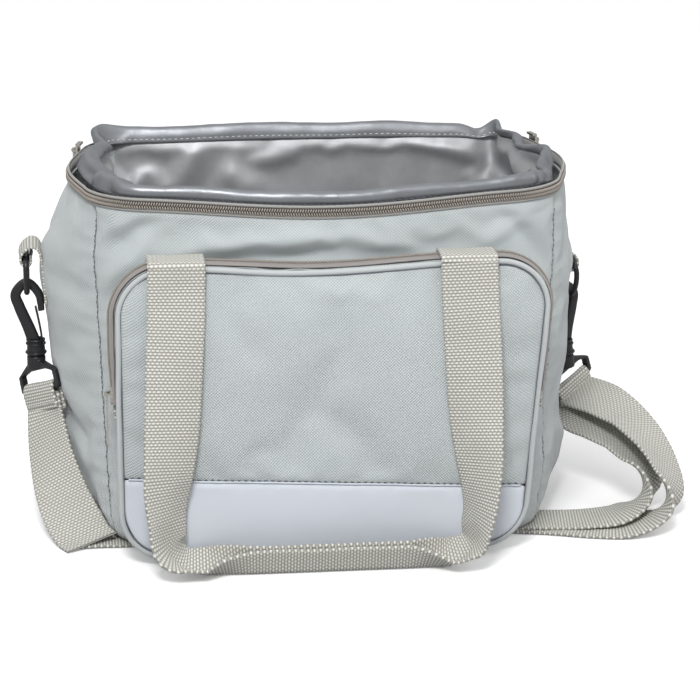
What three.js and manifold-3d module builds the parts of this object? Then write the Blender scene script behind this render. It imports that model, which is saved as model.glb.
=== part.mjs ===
// Insulated cooler bag with its lid thrown open behind it: padded walls, lining, zips, pocket,
// two carry handles, and a shoulder strap on two swivel snap hooks.
// Millimetres, +X to the right of the front, +Y to the back, +Z up, origin under the middle of the base.
import * as THREE from "three";
import { mergeVertices } from "three/addons/utils/BufferGeometryUtils.js";
import Module from "manifold-3d";

const wasm = await Module();
wasm.setup();

// ---------------------------------------------------------------- driving dimensions
const GAP = 0.3; // clearance between neighbouring pieces
const FABRIC = 1.2; // outer fabric
const FOAM = 5;
const LINING = 0.8;
const WEBBING = { width: 38, thickness: 1.8 };
const FLOOR = 0.2; // webbing that lies on the ground keeps this height

const BODY = {
  halfWidthBase: 150,
  halfWidthRim: 157,
  halfDepthBase: 96,
  halfDepthRim: 98,
  cornerRadius: 34,
  baseRadius: 14,
  panelTop: 237,
  coilHeight: 244,
  hemTop: 254.5,
  hemHeight: 12,
  rimRise: 3, // the rim lies this much higher at the corners and lower at the front middle
};
// How far the middle of each wall stands out, as [height, bulge] pairs.
const BULGE = {
  left: [[0, 4], [30, 20], [70, 27], [130, 33], [190, 35], [238, 15]],
  right: [[0, 5], [40, 23], [75, 20], [120, 23], [175, 25], [238, 17]],
  front: [[0, 4], [120, 8], [238, 12]],
  back: [[0, 3], [120, 6], [238, 4]],
};
const FOOT = { edge: -43, room: 4.6 }; // in front of this edge the base is raised over the strap

const POCKET = {
  left: -145,
  rightTop: 146,
  rightBottom: 134, // the right edge slants inwards going down
  bottom: 4.8,
  top: 208,
  cornerRadius: 34,
  front: -126, // outer side of the pocket face
  bandTop: 55, // in the middle
  bandTilt: 2.8, // degrees, the left end higher
  pipingRadius: 1.6,
  zipEnd: 112, // both ends of the pocket zip
  zipMiddle: -114,
  tapeWidth: 8,
};
const HANDLE = {
  legs: [-104, 90],
  hingeHeight: 209,
  frontY: -131,
  gripHeight: 19,
  gripThickness: 4.4,
};
const LID = {
  hingeY: 103,
  hingeHeight: 242.5,
  tipHeight: 265.6, // the lid turns on the top edge of its rear wall
  wallOpen: THREE.MathUtils.degToRad(172),
  panelOpen: THREE.MathUtils.degToRad(94),
  wallHalfWidth: 120,
};
const CLIP = {
  left: { side: -1, y: 0, bar: 187, lean: 0, hookYaw: 0, baseYaw: 124, baseRoll: -20 },
  right: { side: 1, y: 36, bar: 164, lean: 7, hookYaw: 13, baseYaw: 24, baseRoll: -11 },
  standOff: 12.5, // from the wall to the straight bar of the ring
  tabWidth: 32,
  ringRod: 2.2,
  ringDrop: 25.8,
};
const SLIDER = {
  openY: 62,
  endY: 22,
  rise: 1.7, // the main sliders straddle both coil rows of the shut zip
  half: 5.5,
  pocketReach: 4,
  mainReach: 5.3,
};

// ---------------------------------------------------------------- materials
const paint = (color, roughness, metalness = 0) =>
  new THREE.MeshStandardMaterial({ color, roughness, metalness });
const cloth = paint(0xbcc6c9, 0.85);
const smoothCloth = paint(0xc4cdd8, 0.7);
const foamMaterial = paint(0xf0f0ec, 0.9);
const silver = paint(0x9a9ba0, 0.3, 0.6);
const tapeCloth = paint(0x9a958d, 0.8);
const coilPlastic = paint(0x7d7870, 0.5);
const webbingCloth = paint(0xbab6a9, 0.9);
const pipingCloth = paint(0xcdd1d0, 0.7);
const blackPlastic = paint(0x1c1c1f, 0.45);
const nickel = paint(0xa8a39a, 0.3, 1);

const bag = new THREE.Group();

// ---------------------------------------------------------------- solids
// A closed geometry as a manifold-3d solid, its faces pointing out.
function solid(geometry) {
  const bare = geometry.clone();
  bare.deleteAttribute("normal");
  bare.deleteAttribute("uv");
  const merged = mergeVertices(bare, 1e-4);
  const make = (triVerts) => new wasm.Manifold(new wasm.Mesh({
    numProp: 3,
    vertProperties: new Float32Array(merged.attributes.position.array),
    triVerts,
  }));
  const triVerts = new Uint32Array(merged.index.array);
  const made = make(triVerts);
  return made.volume() >= 0 ? made : make(triVerts.slice().reverse());
}

function geometryOf(body) {
  const mesh = body.getMesh();
  const positions = new Float32Array(mesh.numVert * 3);
  for (let i = 0; i < mesh.numVert; i++) {
    for (let k = 0; k < 3; k++) positions[3 * i + k] = mesh.vertProperties[i * mesh.numProp + k];
  }
  const geometry = new THREE.BufferGeometry();
  geometry.setAttribute("position", new THREE.BufferAttribute(positions, 3));
  geometry.setIndex(new THREE.BufferAttribute(new Uint32Array(mesh.triVerts), 1));
  geometry.computeVertexNormals();
  return geometry;
}

const join = (...solids) => solids.reduce((a, b) => a.add(b));
const box = (x0, x1, y0, y1, z0, z1) =>
  new THREE.BoxGeometry(x1 - x0, y1 - y0, z1 - z0)
    .translate((x0 + x1) / 2, (y0 + y1) / 2, (z0 + z1) / 2);

function place(name, body, material, parent = bag) {
  const mesh = new THREE.Mesh(geometryOf(body), material);
  mesh.name = name;
  parent.add(mesh);
  return mesh;
}

// Rings of equally many points, joined side to side: a closed tube, or a solid with its ends capped.
function loft(rings, closedPath = false) {
  const n = rings[0].length;
  const positions = rings.flat().flatMap((p) => [p.x, p.y, p.z]);
  const index = [];
  const spans = closedPath ? rings.length : rings.length - 1;
  for (let r = 0; r < spans; r++) {
    const next = (r + 1) % rings.length;
    for (let i = 0; i < n; i++) {
      const [a, b] = [r * n + i, r * n + ((i + 1) % n)];
      const [c, d] = [next * n + i, next * n + ((i + 1) % n)];
      index.push(a, b, d, a, d, c);
    }
  }
  if (!closedPath) {
    const last = (rings.length - 1) * n;
    const flat = flattened(rings[0]);
    const flatEnd = flattened(rings[rings.length - 1]);
    THREE.ShapeUtils.triangulateShape(flat, []).forEach(([a, b, c]) => index.push(a, c, b));
    THREE.ShapeUtils.triangulateShape(flatEnd, [])
      .forEach(([a, b, c]) => index.push(last + a, last + b, last + c));
  }
  const geometry = new THREE.BufferGeometry();
  geometry.setAttribute("position", new THREE.Float32BufferAttribute(positions, 3));
  geometry.setIndex(index);
  return geometry;
}

// A ring of 3-D points seen along its own normal, for triangulating the cap.
function flattened(ring) {
  const normal = new THREE.Vector3();
  ring.forEach((p, i) => normal.add(p.clone().cross(ring[(i + 1) % ring.length])));
  const turn = new THREE.Quaternion().setFromUnitVectors(normal.normalize(), new THREE.Vector3(0, 0, 1));
  return ring.map((p) => {
    const q = p.clone().applyQuaternion(turn);
    return new THREE.Vector2(q.x, q.y);
  });
}

// ---------------------------------------------------------------- the shape of the bag
function between(pairs, at) {
  if (at <= pairs[0][0]) return pairs[0][1];
  for (let i = 1; i < pairs.length; i++) {
    if (at > pairs[i][0]) continue;
    const share = (at - pairs[i - 1][0]) / (pairs[i][0] - pairs[i - 1][0]);
    const eased = (1 - Math.cos(Math.PI * share)) / 2;
    return pairs[i - 1][1] + (pairs[i][1] - pairs[i - 1][1]) * eased;
  }
  return pairs[pairs.length - 1][1];
}
const hump = (share) => Math.cos((Math.PI / 2) * THREE.MathUtils.clamp(share, -1, 1)) ** 2;
const { lerp, smoothstep, degToRad } = THREE.MathUtils;

// A station is a place on the outline: the corner centre or wall share (u, v) and the way out.
const station = (u, v, degrees) => ({ u, v, angle: degToRad(degrees) });

// The point at a station, at a height, and set in from the outer face.
function skin(at, height, inset) {
  const share = THREE.MathUtils.clamp(height / BODY.coilHeight, 0, 1);
  const halfWidth = lerp(BODY.halfWidthBase, BODY.halfWidthRim, share);
  const halfDepth = lerp(BODY.halfDepthBase, BODY.halfDepthRim, share);
  const r = BODY.baseRadius;
  const tuck = height < r ? r - Math.sqrt(r * r - (r - Math.max(height, 0)) ** 2) : 0;
  const [outX, outY] = [Math.cos(at.angle), Math.sin(at.angle)];
  const x = at.u * (halfWidth - BODY.cornerRadius) + BODY.cornerRadius * outX;
  const y = at.v * (halfDepth - BODY.cornerRadius) + BODY.cornerRadius * outY;
  const sideBulge = between(x < 0 ? BULGE.left : BULGE.right, height);
  const endBulge = between(y < 0 ? BULGE.front : BULGE.back, height);
  const sideShare = smoothstep(Math.abs(x) / halfWidth, 0.6, 0.92);
  const endShare = smoothstep(Math.abs(y) / halfDepth, 0.55, 0.9);
  const rise = smoothstep(height, 170, BODY.panelTop) * BODY.rimRise;
  const dip = 2 * hump(x / halfWidth) * smoothstep(-y, 40, 92);
  return new THREE.Vector3(
    x - (inset + tuck) * outX + Math.sign(x) * sideBulge * hump(y / halfDepth) * sideShare,
    y - (inset + tuck) * outY + Math.sign(y) * endBulge * hump(x / halfWidth) * endShare,
    height + rise * (1 - dip),
  );
}

// Stations along one wall, from one seam to the other; the seams lie on the side of each corner.
const SEAM = 20;
function arc(u, v, from, to, count) {
  return Array.from({ length: count + 1 }, (_, i) => station(u, v, lerp(from, to, i / count)));
}
function straight(u0, v0, u1, v1, degrees, count) {
  return Array.from({ length: count - 1 }, (_, i) =>
    station(lerp(u0, u1, (i + 1) / count), lerp(v0, v1, (i + 1) / count), degrees));
}
const WALLS = {
  front: [...arc(-1, -1, 180 + SEAM, 270, 3), ...straight(-1, -1, 1, -1, 270, 8),
    ...arc(1, -1, 270, 360 - SEAM, 3)],
  right: [...arc(1, -1, -SEAM, 0, 1), ...straight(1, -1, 1, 1, 0, 6), ...arc(1, 1, 0, SEAM, 1)],
  back: [...arc(1, 1, SEAM, 90, 3), ...straight(1, 1, -1, 1, 90, 8), ...arc(-1, 1, 90, 180 - SEAM, 3)],
  left: [...arc(-1, 1, 180 - SEAM, 180, 1), ...straight(-1, 1, -1, -1, 180, 6),
    ...arc(-1, -1, 180, 180 + SEAM, 1)],
};
const ROUND = [...WALLS.front, ...WALLS.right.slice(1), ...WALLS.back.slice(1), ...WALLS.left.slice(1, -1)];
// The zip runs round the left side, the front and the right side, into the back corners.
const ZIP_RUN = [...WALLS.left, ...WALLS.front.slice(1), ...WALLS.right.slice(1)];

// A curved sheet of the given thickness over the given stations and heights.
function sheet(stations, heights, outer, inner) {
  const at = (s, h, inset) => skin(s, h, typeof inset === "function" ? inset(h) : inset);
  const rings = stations.map((s) => [
    ...heights.map((h) => at(s, h, outer)),
    ...[...heights].reverse().map((h) => at(s, h, inner)),
  ]);
  return solid(loftSheet(rings, heights.length));
}
// Each ring runs up the outer face and down the inner one. Both faces split their quads the same way,
// so that nested sheets stay parallel, and the ends are closed by matching pairs.
function loftSheet(rings, rows) {
  const n = 2 * rows;
  const index = [];
  for (let r = 0; r < rings.length - 1; r++) {
    for (let i = 0; i < n; i++) {
      const [a, b] = [r * n + i, r * n + ((i + 1) % n)];
      const [c, d] = [a + n, b + n];
      if (i < rows) index.push(a, b, d, a, d, c);
      else index.push(a, b, c, b, d, c);
    }
  }
  const end = (rings.length - 1) * n;
  for (let i = 0; i < rows - 1; i++) {
    const [a, b, c, d] = [i, i + 1, n - 2 - i, n - 1 - i];
    index.push(a, c, b, a, d, c, end + a, end + b, end + c, end + a, end + c, end + d);
  }
  const geometry = new THREE.BufferGeometry();
  const positions = rings.flat().flatMap((p) => [p.x, p.y, p.z]);
  geometry.setAttribute("position", new THREE.Float32BufferAttribute(positions, 3));
  geometry.setIndex(index);
  return geometry;
}
// Everything inside the outline between the first and last height.
function core(heights, inset, stations = ROUND) {
  return solid(loft(heights.map((h) => stations.map((s) => skin(s, h, inset)))));
}

// ---------------------------------------------------------------- body shells
const ROWS = [10, 14, 40, 80, 120, 160, 200, 226];
const OUTER_ROWS = [6.2, ...ROWS, BODY.panelTop];
const foamOuter = FABRIC + GAP;
const foamInner = foamOuter + FOAM;
const liningOuter = foamInner + GAP;
const tapeInset = [foamOuter, foamOuter + 0.6];

function trimmed(stations, share) {
  // pulls the end stations in a little, so that neighbouring panels keep clear of each other
  const ends = [0, stations.length - 1];
  return stations.map((s, i) => {
    if (!ends.includes(i)) return s;
    const other = stations[i ? i - 1 : 1];
    return station(s.u, s.v, THREE.MathUtils.radToDeg(lerp(s.angle, other.angle, share)));
  });
}

function addWalls() {
  for (const [name, stations] of Object.entries(WALLS)) {
    const share = stations.length > 12 ? 0.02 : 0.025;
    place(`outer_${name}_panel`, sheet(trimmed(stations, share), OUTER_ROWS, 0, FABRIC), cloth);
    const outerFoam = (h) => (h > 225 ? foamOuter + 0.9 : foamOuter); // room for the zip tape
    place(`foam_${name}`, sheet(trimmed(stations, share), OUTER_ROWS, outerFoam, foamInner), foamMaterial);
  }
}

function addBase() {
  const far = 300;
  const rows = [0, 1, 2.5, 4.6, 5.9];
  const inside = core([1.3, 2.5, 4.6, 8], FABRIC).subtract(
    solid(box(-far, far, -far, FOOT.edge + 1.3, -1, 20)));
  const room = solid(box(-far, far, -far, FOOT.edge, -1, FOOT.room));
  place("outer_bottom_panel", core(rows, 0).subtract(inside).subtract(room), cloth);
  const step = solid(box(-far, far, -far, FOOT.edge + 1.6, 0, 6.2));
  place("foam_bottom", core([1.6, 11], 8).subtract(step), foamMaterial);
}

function addLining() {
  const top = BODY.hemTop - BODY.hemHeight - GAP;
  const rows = [...ROWS.slice(1), BODY.panelTop, top];
  const hollow = core([12.1, ...rows, 256], liningOuter + LINING);
  place("lining", core([11.3, ...rows], liningOuter).subtract(hollow), silver);
  const hemRows = [BODY.hemTop - BODY.hemHeight, BODY.hemTop - 2.5, BODY.hemTop];
  const hem = core(hemRows, 4.6).subtract(core([230, 262], 8.4));
  place("rim_hem", hem, silver);
}

// ---------------------------------------------------------------- main zip
function coil(run, height, inset, radius, sides = 6) {
  const rings = run.map((s) => Array.from({ length: sides }, (_, i) => {
    const a = (2 * Math.PI * i) / sides;
    return skin(s, height + radius * Math.sin(a), inset + radius * Math.cos(a));
  }));
  return solid(loft(rings));
}

function addBodyZip() {
  const tape = sheet(ZIP_RUN, [226, BODY.panelTop, BODY.coilHeight + 1.4], ...tapeInset);
  place("zipper_tape_body", tape, tapeCloth);
  place("zipper_coil_body", coil(ZIP_RUN, BODY.coilHeight, 0.1, 1.1), coilPlastic);
}

// ---------------------------------------------------------------- lid, modelled shut and then turned open
function turnAboutX(y, z, angle) {
  return new THREE.Matrix4().makeTranslation(0, y, z)
    .multiply(new THREE.Matrix4().makeRotationX(angle))
    .multiply(new THREE.Matrix4().makeTranslation(0, -y, -z));
}

function addLid() {
  const wallTurn = turnAboutX(LID.hingeY, LID.hingeHeight, -LID.wallOpen);
  const panelTurn = wallTurn.clone().multiply(turnAboutX(LID.hingeY, LID.tipHeight, -LID.panelOpen));
  const wallGroup = new THREE.Group();
  wallTurn.decompose(wallGroup.position, wallGroup.quaternion, wallGroup.scale);
  const lidGroup = new THREE.Group();
  panelTurn.decompose(lidGroup.position, lidGroup.quaternion, lidGroup.scale);
  bag.add(wallGroup, lidGroup);

  const wall = box(-LID.wallHalfWidth, LID.wallHalfWidth, LID.hingeY - 0.6, LID.hingeY + 0.6,
    LID.hingeHeight + 0.4, LID.tipHeight - 0.7);
  place("lid_rear_wall", solid(wall), cloth, wallGroup);

  const outside = (from, to, inset) => {
    const flat = (h) => ROUND.map((s) => {
      const p = skin(s, BODY.coilHeight, inset);
      return new THREE.Vector3(p.x, Math.min(p.y, LID.hingeY - 1.2), h);
    });
    return solid(loft([flat(from), flat(to)]));
  };
  const cover = outside(264.2, 265.4, 0);
  const skirt = outside(257.5, 264.8, 0).subtract(outside(250, 270, FABRIC));
  place("lid_outer_panel", cover.add(skirt), cloth, lidGroup);
  place("lid_foam", outside(259.6, 263.9, 2.6), foamMaterial, lidGroup);
  place("lid_lining", outside(258.5, 259.3, 2.6), silver, lidGroup);
  const rows = [BODY.coilHeight + 2.2, 259];
  place("zipper_tape_lid", sheet(ZIP_RUN, rows, ...tapeInset), tapeCloth, lidGroup);
  place("zipper_coil_lid", coil(ZIP_RUN, BODY.coilHeight + 3.4, 0.1, 1.1), coilPlastic, lidGroup);
}

// ---------------------------------------------------------------- sweeps
// A section carried along a curve. The section's first axis lies across the curve, square to `up`.
function sweep(points, section, up, { steps = 12, closed = false } = {}) {
  const curve = new THREE.CatmullRomCurve3(points.map((p) => new THREE.Vector3(...p)), closed, "centripetal");
  const count = closed ? steps : steps + 1;
  const rings = Array.from({ length: count }, (_, i) => {
    const t = i / steps;
    const centre = curve.getPoint(t);
    const along = curve.getTangent(t);
    const axis = typeof up === "function" ? up(t) : new THREE.Vector3(...up);
    const across = new THREE.Vector3().crossVectors(axis, along).normalize();
    const normal = new THREE.Vector3().crossVectors(along, across).normalize();
    return section(t).map(([a, b]) =>
      centre.clone().addScaledVector(across, a).addScaledVector(normal, b));
  });
  return solid(loft(rings, closed));
}
const round = (radius, sides) => () => Array.from({ length: sides }, (_, i) => {
  const a = (2 * Math.PI * (i + 0.5)) / sides;
  return [radius * Math.cos(a), radius * Math.sin(a)];
});
const bar = (width, thickness) => {
  const [w, t] = [width / 2, thickness / 2];
  return [[-w, -t], [w, -t], [w, t], [-w, t]];
};

// A webbing ribbon through stations [centre, direction of its width, width, thickness].
// Where it would sink into the ground it is lifted onto it.
function ribbon(stations, steps) {
  const last = stations.length - 1;
  const mix = (t, pick) => {
    const i = Math.min(Math.floor(t * last), last - 1);
    return pick(stations[i]).map((v, k) => lerp(v, pick(stations[i + 1])[k], t * last - i));
  };
  const curve = new THREE.CatmullRomCurve3(stations.map(([p]) => new THREE.Vector3(...p)));
  const rings = Array.from({ length: steps + 1 }, (_, i) => {
    const t = i / steps;
    const along = curve.getTangent(t);
    const side = new THREE.Vector3(...mix(t, (s) => s[1]));
    side.addScaledVector(along, -side.dot(along)).normalize();
    const normal = new THREE.Vector3().crossVectors(along, side);
    const [width, thickness] = mix(t, (s) => [s[2] ?? WEBBING.width, s[3] ?? WEBBING.thickness]);
    const ring = bar(width, thickness).map(([a, b]) =>
      curve.getPoint(t).addScaledVector(side, a).addScaledVector(normal, b));
    const sunk = Math.max(0, FLOOR - Math.min(...ring.map((p) => p.z)));
    return ring.map((p) => p.setZ(p.z + sunk));
  });
  return solid(loft(rings));
}

// A strip of webbing bent over a path in the plane of its thickness, extruded over its width.
function bentStrip(path, thickness, width) {
  const points = path.map(([a, b]) => new THREE.Vector2(a, b));
  const normals = points.map((p, i) => {
    const before = points[Math.max(i - 1, 0)];
    const after = points[Math.min(i + 1, points.length - 1)];
    const along = after.clone().sub(before).normalize();
    return new THREE.Vector2(-along.y, along.x);
  });
  const edge = (side) => points.map((p, i) => p.clone().addScaledVector(normals[i], (side * thickness) / 2));
  const shape = new THREE.Shape([...edge(1), ...edge(-1).reverse()]);
  return new THREE.ExtrudeGeometry(shape, { depth: width, bevelEnabled: false, steps: 1 })
    .translate(0, 0, -width / 2);
}

// ---------------------------------------------------------------- zip sliders and pulls
// Slider frame: +X away from the tape, +Y along the bridge that the pull turns on, pull hanging down -Z.
const PULL = { pivot: 5, mainLength: 27, pocketLength: 36, width: 4.4 };

function sliderBody(runsUp) {
  const { half, pocketReach, mainReach } = SLIDER;
  const [y, z] = runsUp ? [pocketReach, half] : [half, mainReach];
  const plate = solid(box(1.3, 2.8, -y, y, -z, z));
  const rail = (side) => (runsUp
    ? solid(box(-0.6, 1.5, side * (y - 0.75) - 0.75, side * (y - 0.75) + 0.75, -z, z))
    : solid(box(-0.6, 1.5, -y, y, side * (z - 0.75) - 0.75, side * (z - 0.75) + 0.75)));
  const bridge = solid(box(2.6, 5.4, -3.4, 3.4, -0.8, 0.8)).subtract(solid(box(2.85, 4.6, -2.6, 2.6, -2, 2)));
  return join(plate, rail(1), rail(-1), bridge);
}
function pullBody(length) {
  const disc = (r) => solid(new THREE.CylinderGeometry(r, r, 1.2, 12).translate(PULL.pivot, 0, 0));
  const bore = solid(new THREE.CylinderGeometry(1.1, 1.1, 4, 12).translate(PULL.pivot, 0, 0));
  const half = PULL.width / 2;
  const tab = solid(box(PULL.pivot - 0.6, PULL.pivot + 0.6, -half, half, -length, -1.5));
  return disc(1.95).add(tab).subtract(bore);
}
function addSlider(names, position, turn, runsUp) {
  const group = new THREE.Group();
  group.position.copy(position);
  group.rotation.z = turn;
  bag.add(group);
  place(names[0], sliderBody(runsUp), nickel, group);
  place(names[1], pullBody(runsUp ? PULL.pocketLength : PULL.mainLength), nickel, group);
}
function addMainSliders() {
  // each slider waits at the open end of the zip, at the back of a side, and slides along the chord
  for (const [name, u] of [["left", -1], ["right", 1]]) {
    const at = (y) => {
      const share = y / (BODY.halfDepthRim - BODY.cornerRadius);
      return skin(station(u, share, u < 0 ? 180 : 0), BODY.coilHeight, 0);
    };
    const start = at(SLIDER.openY);
    const along = at(SLIDER.endY).sub(start).normalize();
    const out = new THREE.Vector3(-u * along.y, u * along.x, 0);
    start.addScaledVector(out, 0.6).setZ(start.z + SLIDER.rise);
    addSlider([`main_slider_${name}`, `main_pull_${name}`], start, Math.atan2(out.y, out.x), false);
  }
}

// ---------------------------------------------------------------- front pocket
function pocketShape(inset) {
  const [x0, xLow, xHigh] = [POCKET.left + inset, POCKET.rightBottom - inset, POCKET.rightTop - inset];
  const [z0, z1] = [POCKET.bottom + inset, POCKET.top - inset];
  const r = POCKET.cornerRadius - inset;
  const shape = new THREE.Shape();
  shape.absarc(xLow - r, z0 + r, r, -Math.PI / 2, 0);
  shape.absarc(xHigh - r, z1 - r, r, 0, Math.PI / 2);
  shape.absarc(x0 + r, z1 - r, r, Math.PI / 2, Math.PI);
  shape.absarc(x0 + r, z0 + r, r, Math.PI, 1.5 * Math.PI);
  shape.closePath();
  return shape;
}
// Where the right edge of the pocket is at a height between its rounded corners.
function rightEdge(z) {
  const [low, high] = [POCKET.bottom + POCKET.cornerRadius, POCKET.top - POCKET.cornerRadius];
  return lerp(POCKET.rightBottom, POCKET.rightTop, (z - low) / (high - low));
}
function pocketPrism(inset, y0, y1) {
  const options = { depth: y1 - y0, bevelEnabled: false, curveSegments: 6, steps: 1 };
  const geometry = new THREE.ExtrudeGeometry(pocketShape(inset), options);
  return solid(geometry.rotateX(Math.PI / 2).translate(0, y1, 0));
}
const above = (z) => solid(box(-300, 300, -300, 300, z, 400));
// One side of the slanting seam between the pocket face and its lower band.
function beyondBand(z0, z1) {
  const slab = box(-300, 300, -300, 300, z0, z1).rotateY(degToRad(POCKET.bandTilt));
  return solid(slab.translate(0, 0, POCKET.bandTop));
}

const anchorBack = { left: -103.3, right: -105 }; // where each front anchor lies against the panel
const anchorTop = POCKET.top + 3.2;
function handleLegs() {
  return [["left", HANDLE.legs[0]], ["right", HANDLE.legs[1]]];
}

function addPocket() {
  const piping = 2 * POCKET.pipingRadius + GAP;
  const face = pocketPrism(piping, POCKET.front, POCKET.front + FABRIC);
  place("pocket_face", face.intersect(beyondBand(GAP / 2, 300)), cloth);
  place("pocket_lower_band", face.intersect(beyondBand(-300, -GAP / 2)), smoothCloth);

  const wallFront = POCKET.front + piping;
  const wallRows = [4.6, 6.2, 9, 14, 40, 80, 120, 160, 200, 230];
  const outside = core(wallRows, -0.4, WALLS.front.concat([station(1, 0, 0), station(-1, 0, 180)]));
  const [tape0, tape1] = [POCKET.zipMiddle - POCKET.tapeWidth / 2, POCKET.zipMiddle + POCKET.tapeWidth / 2];
  const ring = (a, b, y0, y1) => pocketPrism(a, y0, y1).subtract(pocketPrism(b, y0 - 1, y1 + 1));
  const slot = ring(-2, FABRIC + 2, tape0 - GAP, tape1 + GAP).intersect(above(POCKET.zipEnd));
  let gusset = ring(0, FABRIC, wallFront, -92).subtract(outside).subtract(slot);
  for (const [name, x] of handleLegs()) {
    const half = WEBBING.width / 2 + 0.5;
    const y = anchorBack[name] - WEBBING.thickness - GAP;
    gusset = gusset.subtract(solid(box(x - half, x + half, y, -60, 190, 220)));
  }
  gusset = gusset.decompose().sort((a, b) => b.volume() - a.volume())[0];
  place("pocket_gusset", gusset, cloth);
  const tape = ring(0.2, 0.8, tape0, tape1).intersect(above(POCKET.zipEnd + GAP));
  place("pocket_zipper_tape", tape, tapeCloth);

  const outline = (inset, y) => pocketShape(inset).extractPoints(6).shape.map((p) => [p.x, y, p.y]);
  const pipingPath = outline(POCKET.pipingRadius, POCKET.front + POCKET.pipingRadius);
  place("pocket_piping", polySweep(pipingPath, POCKET.pipingRadius, true), pipingCloth);
  const first = outline(-1, POCKET.zipMiddle);
  const start = first.findIndex(([x, , z]) => x > 0 && z > POCKET.bottom + 40);
  const run = first.slice(start).filter(([, , z]) => z > POCKET.zipEnd - 60);
  run[0] = [run[0][0], POCKET.zipMiddle, POCKET.zipEnd + 1];
  run.push([run[run.length - 1][0], POCKET.zipMiddle, POCKET.zipEnd + 1]);
  place("pocket_zipper_coil", polySweep(run.filter(([, , z]) => z > POCKET.zipEnd), 0.9, false), coilPlastic);
  for (const [name, x] of [["left", POCKET.left - 0.8], ["right", rightEdge(POCKET.zipEnd) + 0.8]]) {
    const tab = box(x - 0.5, x + 0.5, tape0, tape1, POCKET.zipEnd - 9, POCKET.zipEnd - GAP);
    place(`pocket_zip_end_${name}`, solid(tab), webbingCloth);
  }
  const slider = new THREE.Vector3(POCKET.left - 1, POCKET.zipMiddle, POCKET.zipEnd + 8);
  addSlider(["pocket_slider", "pocket_pull"], slider, Math.PI, true);
}

// A round bead along straight pieces of an outline that lies upright, across Y.
function polySweep(path, radius, closed, sides = 6) {
  const points = path.map((p) => new THREE.Vector3(...p));
  const n = points.length;
  const rings = points.map((p, i) => {
    const before = closed ? points[(i + n - 1) % n] : points[Math.max(i - 1, 0)];
    const after = closed ? points[(i + 1) % n] : points[Math.min(i + 1, n - 1)];
    const along = after.clone().sub(before).normalize();
    const across = new THREE.Vector3(0, 1, 0).cross(along).normalize();
    return Array.from({ length: sides }, (_, k) => {
      const a = (2 * Math.PI * k) / sides;
      return p.clone().addScaledVector(across, radius * Math.cos(a))
        .add(new THREE.Vector3(0, radius * Math.sin(a), 0));
    });
  });
  return solid(loft(rings, closed));
}

// ---------------------------------------------------------------- carry handles
function handleBody([x0, x1], top, { y0, y1, yGrip, zGrip }) {
  const grip = [HANDLE.gripHeight, HANDLE.gripThickness];
  const corner = 26;
  const leg = (x, lean, way) => [
    [[x, y0, top], [way, 0, 0]],
    [[x + lean * 0.4, lerp(y0, y1, 0.45), lerp(top, 60, 0.45)], [way, 0, 0]],
    [[x + lean, y1, 58], [way, 0, 0]],
  ];
  const left = leg(x0, -4, 1);
  const right = leg(x1, 6, -1).reverse();
  const low = (x, way, share) => [[x, lerp(y1, yGrip, 0.8), zGrip + 14], [way * share, 0, 1 - share * 0.4], 28, 3];
  return ribbon([
    ...left, low(x0 + 6, 1, 0.8), [[x0 + corner + 8, yGrip, zGrip], [0, 0, 1], ...grip],
    [[(x0 + x1) / 2, yGrip, zGrip], [0, 0, 1], ...grip],
    [[x1 - corner - 6, yGrip, zGrip], [0, 0, 1], ...grip], low(x1 - 4, -1, 0.8), ...right,
  ], 40);
}

function addHandles() {
  const t = WEBBING.thickness;
  const hang = { y0: HANDLE.frontY, y1: HANDLE.frontY - 13, yGrip: -149, zGrip: 10.2 };
  const front = handleBody(HANDLE.legs, HANDLE.hingeHeight, hang);
  place("front_handle", front, webbingCloth);
  for (const [name, x] of handleLegs()) {
    const back = anchorBack[name] - t / 2;
    const path = [[back, 178], [back, anchorTop - 1.4], [back - 1, anchorTop], [HANDLE.frontY + 3, anchorTop]];
    // the path lies in the Y-Z plane, so the strip is stood up and turned to face front
    const strip = bentStrip(path.map(([y, z]) => [y, z]), t, WEBBING.width);
    const turn = new THREE.Matrix4().makeBasis(
      new THREE.Vector3(0, 1, 0), new THREE.Vector3(0, 0, 1), new THREE.Vector3(1, 0, 0));
    strip.applyMatrix4(turn).translate(x, 0, 0);
    place(`front_handle_anchor_${name}`, solid(strip), webbingCloth);
  }
  const rearLegs = [-97, 97];
  const rear = handleBody(rearLegs, 206.8, { y0: 104.5, y1: 104.8, yGrip: 105.4, zGrip: 13 });
  place("rear_handle", rear, webbingCloth);
  for (const [name, x] of [["left", rearLegs[0]], ["right", rearLegs[1]]]) {
    const half = WEBBING.width / 2;
    place(`rear_handle_anchor_${name}`, solid(box(x - half, x + half, 101.3, 101.3 + t, 172, 207.5)), webbingCloth);
  }
}

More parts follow.
